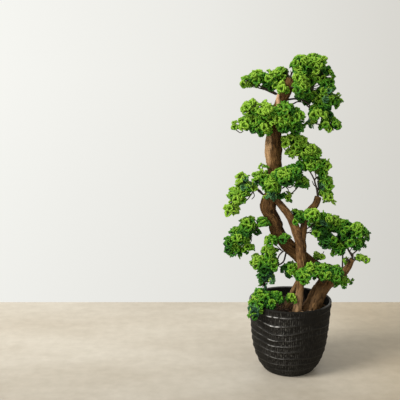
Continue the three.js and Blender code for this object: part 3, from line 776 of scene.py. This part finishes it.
def random_turns(rng, count, tilt):
    """Rotation matrices: any heading, tipped by up to about the tilt."""
    heading = rng.uniform(0, 2 * math.pi, count)
    pitch, roll = rng.normal(0, tilt, count), rng.normal(0, tilt * 1.5, count)
    ch, sh, cp, sp, cr, sr = (f(a) for a in (heading, pitch, roll) for f in (np.cos, np.sin))
    zero, one = np.zeros(count), np.ones(count)
    turn = np.stack([ch, -sh, zero, sh, ch, zero, zero, zero, one], 1).reshape(-1, 3, 3)
    tip = np.stack([cp, zero, sp, zero, one, zero, -sp, zero, cp], 1).reshape(-1, 3, 3)
    lean = np.stack([one, zero, zero, zero, cr, -sr, zero, sr, cr], 1).reshape(-1, 3, 3)
    return turn @ tip @ lean


SOIL_COLUMNS = 120
CHIPS = 900


def add_soil():
    """A bumpy bed with loose chips of bark on it."""
    rng = np.random.default_rng(SOIL_SEED)
    top = outline_radius(np.array([SOIL_TOP]))[0] - POT_WALL - 0.6
    rings = np.concatenate([[0.5], np.linspace(6, top, 40)])
    x, y, radius = spun(rings, SOIL_COLUMNS)
    x, y = x * radius, y * radius
    base = np.stack([x, y, np.zeros_like(x)], axis=1)
    z = SOIL_TOP - 3.0 + 7.0 * layered_noise(base / 30.0, 4, 2)
    bed = (np.stack([x, y, z], axis=1), halved(grid_quads(len(rings), SOIL_COLUMNS)[:, ::-1]))
    parts, tones = [bed], [np.full(len(x), 0.12)]
    turns = random_turns(rng, CHIPS, 0.32)
    reach = np.sqrt(rng.uniform(0, 1, CHIPS)) * (top - 9)
    angle = rng.uniform(0, 2 * math.pi, CHIPS)
    lift = rng.uniform(-1.5, 6.5, CHIPS)
    for turn, r, a, up in zip(turns, reach, angle, lift):
        vertices, triangles = chip(rng)
        at = np.array([r * math.cos(a), r * math.sin(a), SOIL_TOP + up])
        parts.append((vertices @ turn.T + at, triangles))
        tones.append(np.full(len(vertices), rng.uniform(0.15, 1.0) ** 1.3))
    vertices, triangles = joined(parts)
    piece = make_piece("soil_mulch", vertices, triangles, [mulch_material()],
                       attributes={"tone": np.concatenate(tones)}, smooth=False)
    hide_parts("soil")


# ---- Trunk and limbs

def limb_arrays(route, sides, steps, seed, depth):
    """A limb with bark relief, and which of its faces belong to the cut end."""
    centres, c, s, ways, r = sleeve(route, sides, steps)
    length = np.concatenate([[0], np.cumsum(np.linalg.norm(np.diff(centres, axis=0), axis=1))])
    along = np.repeat(length, sides)
    twist = along * 0.006
    ct, st = c * np.cos(twist) - s * np.sin(twist), c * np.sin(twist) + s * np.cos(twist)
    grain = np.stack([ct * r, st * r, along], axis=1)
    swell = layered_noise(grain * (0.035, 0.035, 0.016), 3, seed)
    folds = 1 - 2 * np.abs(layered_noise(grain * (0.16, 0.16, 0.034), 3, seed + 11))
    strands = 1 - 2 * np.abs(layered_noise(grain * (0.42, 0.42, 0.060), 3, seed + 23))
    knots = clamped(value_noise(grain * (0.05, 0.05, 0.03), seed + 31) - 0.72)
    relief = 0.55 * (folds - 0.72) / 0.28 + 0.45 * (strands - 0.72) / 0.28
    scale = np.clip(r / 20.0, 0.35, 1.2)
    bulge = scale * depth * (5.0 * swell + 1.15 * relief + 22.0 * knots * (r > 15))
    # The flare: ribs run down into the roots near the soil
    height = np.repeat(centres[:, 2], sides)
    flare = clamped((300 - height) / 60.0) * (route[0][2] < 260)
    bulge = bulge + flare * scale * 1.8 * np.cos(5 * np.arctan2(st, ct) + 0.8)
    vertices = np.repeat(centres, sides, 0) + ways * (r + bulge)[:, None]
    triangles = halved(grid_quads(len(centres), sides))
    # A shallow rough cut: the last ring drawn in over three rings to a middle point
    last = vertices[-sides:]
    middle = last.mean(axis=0)
    tangent = unit(centres[-1] - centres[-2])
    rim = [last]
    for share, sink in ((0.9, 0.6), (0.55, 0.2), (0.02, -0.3)):
        rough = 1.2 * (layered_noise(last * 0.4 + share * 9, 2, seed) - 0.1)
        rim.append(middle + (last - middle) * share + tangent * (sink + rough)[:, None])
    cap = halved(grid_quads(len(rim), sides)) + len(vertices)
    paint = np.concatenate([np.zeros(len(triangles)), np.ones(len(cap))])
    triangles = np.vstack([triangles, cap])
    vertices = np.vstack([vertices, *rim])
    grain = np.vstack([grain, np.tile(grain[-sides:], (len(rim), 1))])
    relief = np.concatenate([relief, np.tile(relief[-sides:], len(rim))])
    return vertices, triangles, grain * METRES, relief, paint


# The pale tan of the worn and lit patches: wear and painted light
WORN_LIT_WOOD = (0.44, 0.27, 0.135)


def worn_lit_patch(vertices):
    """Pale facet on the left of the trunk's upper half, about 862 mm up: wear and painted light."""
    x, _, z = vertices.T
    edge = layered_noise(vertices / (22.0, 22.0, 40.0), 3, 88)
    side = clamped((-86 - x + 14 * edge) / 6.0)
    return side * np.clip(1.5 * bell(z, 862, 62.0) + 0.5 * edge - 0.2, 0, 0.9)


def bend_shade(vertices):
    """Painted shade: how much darker the trunk is painted inside its lower bend."""
    x, _, z = vertices.T
    route = np.array(sorted(TRUNK, key=lambda row: row[2]), float)
    inner = x - np.interp(z, route[:, 2], route[:, 0]) + 5 * layered_noise(vertices / 14.0, 2, 95)
    return 1.7 * clamped(inner / 16.0) * clamped(np.minimum(z - 525, 650 - z) / 30.0)


def strand_shade(vertices):
    """Painted shade: the right stem's strand goes on down the front stem, darker, beyond a dark
    seam.
    """
    x, _, z = vertices.T
    seam = np.interp(z, [420, 455, 490, 545, 575], [50, 47, 39, 29, 30])
    beyond = x - seam + 3 * layered_noise(vertices / 12.0, 2, 91)
    strand = 0.9 * clamped(beyond / 2.5) + 1.1 * bell(beyond, 0, 2.2)
    return strand * clamped(np.minimum(z - 415, 580 - z) / 20.0)


def add_wood():
    bark = bark_material("bark", (0.036, 0.018, 0.006), (0.085, 0.041, 0.012),
                         (0.185, 0.098, 0.034))
    young = bark_material("young_bark", (0.042, 0.020, 0.007), (0.122, 0.061, 0.022),
                          (0.30, 0.170, 0.070))
    pale = bark_material("stub_bark", (0.26, 0.13, 0.06), (0.56, 0.34, 0.19), (0.70, 0.48, 0.30))
    cut = cut_wood_material()
    # Name, skin, sides, steps between the route's points, depth of the relief, slot and nodes
    jobs = [
        ("trunk", bark, 112, 16, 1.0, "bark", ["trunk_base", "trunk_middle", "trunk_upper"]),
        ("front_stem_bark", young, 72, 22, 0.9, "bark", ["front_stem"]),
        ("right_stem_bark", bark, 60, 20, 0.9, "bark", ["right_stem"]),
        ("rear_stem_bark", young, 48, 22, 0.8, "bark", ["rear_stem"]),
        ("right_bough_bark", young, 72, 18, 0.9, "bark", ["right_bough"]),
        ("stub_wood", pale, 44, 14, 0.7, "cut_wood", ["trunk_stub"]),
    ]
    for seed, (name, skin, sides, steps, depth, slot, nodes) in enumerate(jobs, 1):
        vertices, triangles, grain, relief, paint = limb_arrays(
            LIMBS.get(nodes[0], TRUNK), sides, steps, seed, depth
        )
        if name == "trunk":
            # Painted light: the lit facet, and the trunk painted a little paler just above the soil
            worn_and_lit = worn_lit_patch(vertices) + np.clip((340 - vertices[:, 2]) / 60.0, 0, 0.12)
            # Painted shade inside the trunk's lower bend
            relief = relief - bend_shade(vertices)
        else:
            # The slim stems are paler where they leave the soil: painted light where they catch it
            worn_and_lit = np.clip((350 - vertices[:, 2]) / 80.0, 0, 0.85)
        if name == "front_stem_bark":
            # Painted shade: the seam and the far strand on the front stem
            relief = relief - strand_shade(vertices)
        piece = make_piece(name, vertices, triangles, [skin, cut], paint,
                           {"grain": grain, "relief": relief, "worn_and_lit": worn_and_lit})
        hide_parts(*nodes)


# ---- Foliage

# Wiry twigs that show between the masses: radius at the start and the end, depth from front to
# back, then the way as its places across and its heights
WIRES = [
    (3.0, 1.8, -14, [-33, -48, -55, -61, -70], [476, 458, 433, 414, 401]),
    (2.5, 1.5, -16, [-39, -55, -64, -79], [479, 486, 489, 483]),
    (2.2, 1.5, -16, [-51, -60, -71], [450, 443, 429]),
    (2.0, 1.4, -12, [-31, -51, -62], [472, 490, 501]),
    (3.0, 1.9, -6, [-114, -130, -141, -154, -163, -166], [582, 578, 567, 545, 525, 505]),
    (2.2, 1.4, -10, [-130, -137, -153], [579, 594, 604]),
    (2.2, 1.4, -8, [-126, -139, -150], [569, 559, 557]),
    (2.0, 1.4, -8, [-160, -153, -159], [532, 518, 504]),
    (2.0, 1.2, -8, [-193, -206, -214], [476, 470, 459]),
    (3.5, 2.2, -16, [94, 91, 84, 79, 69, 55, 43], [686, 703, 728, 747, 768, 789, 798]),
    (2.2, 1.4, -13, [92, 94, 91, 97], [701, 720, 739, 756]),
    (2.1, 1.4, -12, [79, 84, 81, 89], [746, 761, 778, 790]),
    (2.1, 1.4, -14, [85, 76, 70], [724, 733, 747]),
    (2.0, 1.2, -12, [62, 70, 74], [778, 786, 798]),
    (3.2, 2.0, -8, [-114, -130, -146, -157, -167, -176], [696, 713, 708, 694, 679, 669]),
    (2.2, 1.4, -12, [-134, -147, -160], [714, 726, 723]),
    (2.1, 1.4, -12, [-116, -138, -158], [733, 752, 748]),
    (2.0, 1.4, -10, [-149, -145, -155], [704, 688, 676]),
    (2.8, 1.6, -36, [-44, -30, -15, 0], [722, 731, 726, 736]),
    (2.2, 1.4, -40, [-32, -21, -24], [731, 717, 704]),
    (3.0, 1.8, -6, [-54, -36, -20, -7, 12], [896, 887, 872, 851, 840]),
    (2.2, 1.4, -10, [-30, -14, 0], [881, 883, 872]),
    (2.1, 1.4, -10, [-42, -39, -26, -24], [889, 870, 857, 844]),
    (2.4, 1.4, 0, [52, 65, 77, 84], [1092, 1098, 1109, 1121]),
    (2.2, 1.2, -2, [56, 72, 89], [1089, 1089, 1092]),
    (2.1, 1.2, -2, [59, 72, 84], [1087, 1080, 1072]),
    (2.1, 1.2, -2, [63, 77, 90], [1097, 1098, 1104]),
    (2.0, 1.2, -6, [-22, -28, -26], [1129, 1140, 1152]),
    (2.0, 1.2, -6, [-19, -17, -19], [1129, 1141, 1154]),
    (3.2, 2.0, 0, [-31, -10, 8, 26], [1034, 1031, 1040, 1039]),
    (2.8, 1.6, 0, [43, 58, 66, 65], [1028, 1014, 999, 979]),
    (2.1, 1.2, 0, [64, 55, 50], [993, 982, 969]),
    (2.2, 1.2, -34, [-226, -214, -201, -190], [949, 938, 930, 935]),
    (3.2, 2.0, -4, [-70, -89, -112, -141, -159], [1067, 1075, 1085, 1093, 1102]),
    (2.2, 1.4, -6, [-100, -108, -121], [1081, 1096, 1105]),
    (4.0, 3.2, -2, [234, 235, 235], [429, 449, 463]),
    (3.1, 2.0, -4, [235, 220, 213, 205], [459, 474, 495, 511]),
    (2.9, 1.8, 0, [235, 249, 263, 271], [460, 473, 486, 500]),
    (2.1, 1.2, -4, [222, 230, 226], [472, 487, 501]),
    (2.1, 1.2, -2, [248, 250, 244], [473, 489, 502]),
    (3.0, 1.8, -24, [53, 66, 81, 96], [549, 552, 547, 557]),
    (2.5, 1.5, -26, [52, 69, 86, 98], [565, 577, 585, 596]),
    (2.1, 1.2, -26, [64, 78, 92], [559, 564, 565]),
    (2.1, 1.2, -24, [69, 75, 88], [575, 562, 572]),
    (2.5, 1.5, 20, [112, 120, 128], [439, 449, 465]),
]
# Spots seen from the front, as x and z in the plane y = 0 and a radius: where sky or bark shows
# through, and where the sprays are a cooler green
OPENINGS = [
    (169, 542, 18), (76, 1098, 24), (-22, 1144, 17), (-15, 1087, 18), (-142, 533, 20),
    (-18, 873, 17), (-18, 260, 17), (71, 763, 16), (-147, 704, 18), (90, 970, 17), (131, 962, 14),
]
COOL_SPOTS = [
    (-147, 231, 20), (-80, 369, 28), (-110, 337, 20), (98, 733, 27), (-173, 736, 22),
    (128, 1061, 22), (118, 574, 15), (-82, 698, 18), (65, 958, 16),
]

LEAF_FACES = np.array([
    (1, 3, 5), (1, 5, 2), (1, 4, 3), (1, 2, 4), (0, 5, 3), (0, 2, 5), (0, 3, 4), (0, 4, 2),
])


def flat_leaf(start, heading, side, length, wide, thick, belly):
    """Corners of an eight-faced leaf, broadest at the belly, with a blunt end."""
    normal = np.cross(heading, side)
    middle = start + heading * length * belly
    points = [start, start + heading * length, middle - side * wide, middle + side * wide,
              middle - normal * thick, middle + normal * thick]
    return np.array(points)


FAN_FACES = np.vstack([LEAF_FACES + 6 * k for k in range(3)])


def tuft_shape(rng):
    """A tuft about +Z: fans spread over a dome, each a blade that ends in three blunt tips."""
    fans, blades, headings = [], [], []
    spin = rng.uniform(0, 2 * math.pi)
    for i in range(FANS):
        lean = FAN_LEAN + FAN_SPAN * math.sqrt((i + 0.3) / FANS) + rng.uniform(-12, 12)
        lean = math.radians(lean)
        turn = spin + i * GOLDEN_TURN + rng.uniform(-FAN_ROLL, FAN_ROLL)
        outward = np.array([math.cos(turn), math.sin(turn), 0.0])
        heading = outward * math.sin(lean) + UP * math.cos(lean)
        across = np.cross(UP, outward)
        roll = rng.uniform(-FAN_ROLL, FAN_ROLL)
        side = unit(across * math.cos(roll) + np.cross(heading, across) * math.sin(roll))
        length = TUFT_LENGTH * rng.uniform(0.76, 1.16)
        blades.append(flat_leaf(heading, heading, side, length * 0.95, *BLADE))
        tips = []
        for k in (-1, 0, 1):
            spread = TIP_SPREAD * k + rng.uniform(-0.12, 0.12)
            way = unit(heading + side * spread + UP * rng.uniform(-0.05, 0.3))
            tip_side = unit(side - way * np.dot(side, way))
            start = heading * length * 0.5 + side * k * TIP_STEP
            tip_length = length * rng.uniform(0.34, 0.66)
            tips.append(flat_leaf(start, way, tip_side, tip_length, *TIP))
        fans.append(np.vstack(tips))
        headings.append(heading)
    return np.array(fans), np.array(blades), np.array(headings)


def lobe_shares(lobes, points):
    """How far each point lies from the nearest lobe's middle, as a share of the way out."""
    lobes = np.asarray(lobes, float)
    offset = (points[:, None, :] - lobes[None, :, :3]) / (lobes[:, 3:] * LOBE_STRETCH)[None]
    return np.linalg.norm(offset, axis=2).min(axis=1)


def in_own_space(name, points):
    """True where a point is nearer to its own mass's lobes than to any other's."""
    own = lobe_shares(MASSES[name][2], points)
    others = [lobe for other, (_, _, lobes) in MASSES.items() if other != name for lobe in lobes]
    return lobe_shares(others, points) > own


def limb_segments():
    """Starts, ends and radii of short straight pieces of the trunk and the limbs."""
    starts, ends, radii = [], [], []
    for route in [TRUNK, *LIMBS.values()]:
        rows = catmull_rom(route, 3)
        starts.append(rows[:-1, :3])
        ends.append(rows[1:, :3])
        radii.append(np.maximum(rows[:-1, 3], rows[1:, 3]))
    return np.vstack(starts), np.vstack(ends), np.concatenate(radii)


SEGMENTS = limb_segments()


def is_clear(point, room):
    """True where a ball of that radius touches neither a limb nor the pot's wall."""
    starts, ends, radii = SEGMENTS
    along = ends - starts
    share = np.einsum("ij,ij->i", point - starts, along) / np.einsum("ij,ij->i", along, along)
    nearest = starts + along * clamped(share)[:, None]
    if (np.linalg.norm(point - nearest, axis=1) < radii + room).any():
        return False
    reach = math.hypot(point[0], point[1])
    wall = float(outline_radius(np.array([point[2]]))[0])
    if point[2] > POT_HEIGHT + room:
        return True
    return reach > wall + room or (reach < wall - POT_WALL - room and point[2] > SOIL_TOP + room)


def golden_directions(count, start):
    """Directions spread evenly over a sphere."""
    i = np.arange(count)
    height = 1 - (2 * i + 1) / count
    ring = np.sqrt(1 - height * height)
    turn = start + i * GOLDEN_TURN
    return np.stack([ring * np.cos(turn), ring * np.sin(turn), height], axis=1)


def sagging(a, b, start_radius, end_radius, sag, rng):
    """A slightly bent twig between two points, as a route with radii."""
    middle = (a + b) / 2 + rng.normal(0, 0.06 * np.linalg.norm(b - a), 3) - UP * sag
    radii = (start_radius, (start_radius + end_radius) / 2, end_radius)
    return [(*p, r) for p, r in zip((a, middle, b), radii)]


def seen_within(points, spots):
    """True where the front view shows a point within one of the spots."""
    share = EYE[1] / (EYE[1] - points[:, 1:2])
    seen = EYE + (points - EYE) * share
    x, z, r = np.array(spots, float).T
    return (np.hypot(seen[:, :1] - x, seen[:, 2:] - z) < r).any(axis=1)


def tuft_places(name, lobe, others, foot, layer, rng):
    """Places and headings for tufts on a lobe, in clumps, before their room is checked."""
    middle, r = np.array(lobe[:3], float), lobe[3]
    count = round(CANDIDATES_PER_AREA * r * r)
    ways = golden_directions(count, rng.uniform(0, 6.3))
    ways = unit(ways + rng.normal(0, 0.1, (count, 3)))
    clumps = layered_noise((middle + ways * r) / 27.0, 2, 60)
    reach = layer * (1.0 + CLUMP_DEPTH * np.minimum(clumps, 0.15))
    tips = middle + ways * LOBE_STRETCH * r * reach[:, None]
    headings = unit(unit(tips - foot) + UP * 0.3 + rng.normal(0, 0.2, (count, 3)))
    low, high = np.array(cad_box) * 1000.0
    bases = np.clip(tips - headings * TUFT_LENGTH, low + TUFT_ROOM, high - TUFT_ROOM)
    keep = in_own_space(name, bases + headings * 5.0)
    keep &= ~seen_within(bases + headings * 8.0, OPENINGS)
    if others:
        keep &= lobe_shares(others, tips) > BURIED_SHARE * layer
    order = rng.permutation(np.flatnonzero(keep))
    return [(bases[i], headings[i], ways[i][2], clumps[i]) for i in order]


def grow_foliage():
    """Stems, twigs and the place, heading and brightness of each tuft, mass by mass."""
    wood, tufts = [], []
    for first, last, y, across, heights in WIRES:
        radii = np.linspace(first, last, len(across))
        wood.append(tube([(x, y, z, r) for x, z, r in zip(across, heights, radii)],
                         sides=6, steps=3))
    taken = np.full((1, 3), 1e6)
    for index, (name, (sunlit, stem, lobes)) in enumerate(MASSES.items()):
        rng = np.random.default_rng(index + 1)
        radii = np.linspace(STEM_RADIUS, TWIG_RADIUS, len(stem))
        wood.append(tube([(*p, r) for p, r in zip(stem, radii)], sides=8, steps=6))
        middles = np.array([lobe[:3] for lobe in lobes], float)
        for i, lobe in enumerate(lobes):
            r = lobe[3]
            middle = middles[i]
            foot = middle - UP * SPRAY_DROP * r
            if i > 0:
                gaps = np.linalg.norm(middles[:i] - middle, axis=1)
                start = middles[gaps.argmin()]
                route = sagging(start, foot, TWIG_RADIUS, 1.9, 3.0, rng)
                wood.append(tube(route, sides=6, steps=4))
            ends = [foot]
            for way in golden_directions(BRANCHLETS, rng.uniform(0, 6.3)):
                end = middle + way * LOBE_STRETCH * r * 0.5
                if is_clear(end, 3.0):
                    ends.append(end)
                    route = sagging(foot, end, BRANCHLET_RADIUS, 1.2, 0.0, rng)
                    wood.append(tube(route, sides=5, steps=2))
            ends = np.array(ends)
            others = [other for j, other in enumerate(lobes) if j != i]
            for layer in (LEAF_REACH, HEART_REACH):
                for base, heading, up, clump in tuft_places(name, lobe, others, foot, layer, rng):
                    room = np.interp(up, *np.array(TUFT_SPACING).T) * rng.uniform(0.88, 1.15)
                    if np.linalg.norm(taken - base, axis=1).min() < room:
                        continue
                    if not is_clear(base + heading * 6.0, 10.0):
                        continue
                    taken = np.vstack([taken, base])
                    near = ends[np.linalg.norm(ends - base, axis=1).argmin()]
                    route = sagging(near, base + heading * 2.0, STALK_RADIUS, 0.8, 0.0, rng)
                    wood.append(tube(route, sides=4, steps=1))
                    # Painted light and shade: brighter in a sunlit mass and a clump that stands
                    # out, deeper in the heart layer
                    shine = sunlit + CLUMP_SHINE * clump + rng.normal(0, 0.14)
                    shine -= HEART_SHADE * (layer == HEART_REACH)
                    size = rng.uniform(0.82, 1.18)
                    tufts.append((base, heading, rng.uniform(0, 2 * math.pi), shine, size))
    return wood, tufts


def covered(bases):
    """Painted shade: how far other tufts close each one in, those above it most, in standard
    deviations.
    """
    away = bases[None] - bases[:, None]
    near = bell(np.linalg.norm(away, axis=2), 0, 38.0)
    cover = (near * (0.35 + 0.65 * clamped(away[:, :, 2] / 18.0))).sum(axis=1)
    return np.clip((cover - cover.mean()) / cover.std(), -1.4, 1.8)


def headings_to_turns(headings, spins):
    """Matrices that turn +Z to each heading after a spin about it."""
    helper = np.where(np.abs(headings[:, 2:]) < 0.95, [UP], [[1.0, 0.0, 0.0]])
    side = unit(np.cross(helper, headings))
    other = np.cross(headings, side)
    c, s = np.cos(spins)[:, None], np.sin(spins)[:, None]
    return np.stack([side * c + other * s, other * c - side * s, headings], axis=2)


# Name, base colour and roughness of the greens, from the sunlit tips down to the shaded hearts,
# ranked by painted light and shade and partly by tone that varies at random, and the ranks that
# part the warm ones
LEAF_COLOURS = [
    ("leaf_bright", (0.245, 0.43, 0.036), 0.48),
    ("leaf_lit", (0.142, 0.305, 0.018), 0.50),
    ("leaf_mid", (0.068, 0.220, 0.010), 0.52),
    ("leaf_deep", (0.027, 0.128, 0.009), 0.54),
    ("leaf_shade", (0.012, 0.064, 0.008), 0.56),
    ("leaf_heart", (0.005, 0.032, 0.005), 0.6),
    ("leaf_cool", (0.088, 0.225, 0.075), 0.5),
    ("leaf_cool_deep", (0.036, 0.120, 0.045), 0.54),
    ("leaf_cool_heart", (0.014, 0.052, 0.022), 0.58),
]
TONE_RANKS = [0.16, 0.39, 0.63, 0.83, 0.97]
# What else makes a tuft brighter or deeper: its clump, painted lighter where it stands out;
# its layer, painted shade in the heart; its patch of the crown; what closes it in, painted shade;
# and the way it faces, painted light on those that face up
CLUMP_SHINE = 1.35
HEART_SHADE = 1.5
PATCH_SHINE = 0.6
COVER_SHADE = 0.16
UPWARD_SHINE = 0.36
# How much deeper in rank a blade is than the tips it carries
BLADE_DEEPER = 0.13
# The cool greens come after the warm ones
COOL_STEP = 6
COOL_SHARE = 0.7


def add_foliage():
    wood, tufts = grow_foliage()
    bases, headings, spins, shines, sizes = (np.array(column) for column in zip(*tufts))
    rng = np.random.default_rng(COLOUR_SEED)
    variant = rng.integers(0, TUFT_VARIANTS, len(tufts))
    shapes = [tuft_shape(np.random.default_rng(SHAPE_SEED + v)) for v in range(TUFT_VARIANTS)]
    fans, blades, ways = (np.array(part)[variant] for part in zip(*shapes))
    turns = headings_to_turns(headings, spins)
    ways = np.einsum("nij,nfj->nfi", turns, ways)
    turns = turns * sizes[:, None, None]
    fans = np.einsum("nij,nfkj->nfki", turns, fans) + bases[:, None, None]
    blades = np.einsum("nij,nfkj->nfki", turns, blades) + bases[:, None, None]
    # Whole sprays lean brighter or deeper together, in patches a few centimetres wide; as painted
    # shade, those that other tufts close in are deeper; and as painted light, a spray that faces up
    # is brighter than one that faces down
    shines = shines + PATCH_SHINE * layered_noise(bases / 60.0, 2, 77)
    shines = shines - COVER_SHADE * covered(bases)
    shines = shines[:, None] + UPWARD_SHINE * ways[:, :, 2] + rng.normal(0, 0.03, ways.shape[:2])
    order = np.argsort(np.argsort(-shines, axis=None)).reshape(shines.shape) / shines.size
    cool = seen_within(bases, COOL_SPOTS) & (rng.uniform(0, 1, len(bases)) < COOL_SHARE)
    cool = np.repeat(cool[:, None], FANS, axis=1)
    tones = []
    for ranks in (order, order + BLADE_DEEPER):
        tone = np.digitize(ranks, TONE_RANKS)
        tones.append(np.where(cool & (tone > 0), np.minimum(tone, 3) + COOL_STEP - 1, tone))
    for index, (name, colour, roughness) in enumerate(LEAF_COLOURS):
        material = leaf_material(name, colour, roughness)
        number = 0
        for corners, tone, faces in zip((fans, blades), tones, (FAN_FACES, LEAF_FACES)):
            corners = corners[tone == index]
            size = MAX_TRIANGLES // len(faces)
            for start in range(0, len(corners), size):
                part = corners[start:start + size]
                shift = np.arange(len(part))[:, None, None] * part.shape[1]
                triangles = (faces[None] + shift).reshape(-1, 3)
                number += 1
                make_piece(f"{name}_{number}", part.reshape(-1, 3), triangles,
                                         [material])
    vertices, triangles = joined(wood)
    make_piece("twigs", vertices, triangles, [twig_material()])
    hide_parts(*MASSES)


add_camera()
set_world()
add_lights()
bpy.context.scene.view_settings.view_transform = "Standard"
add_floor()
add_pot()
add_soil()
add_wood()
add_foliage()
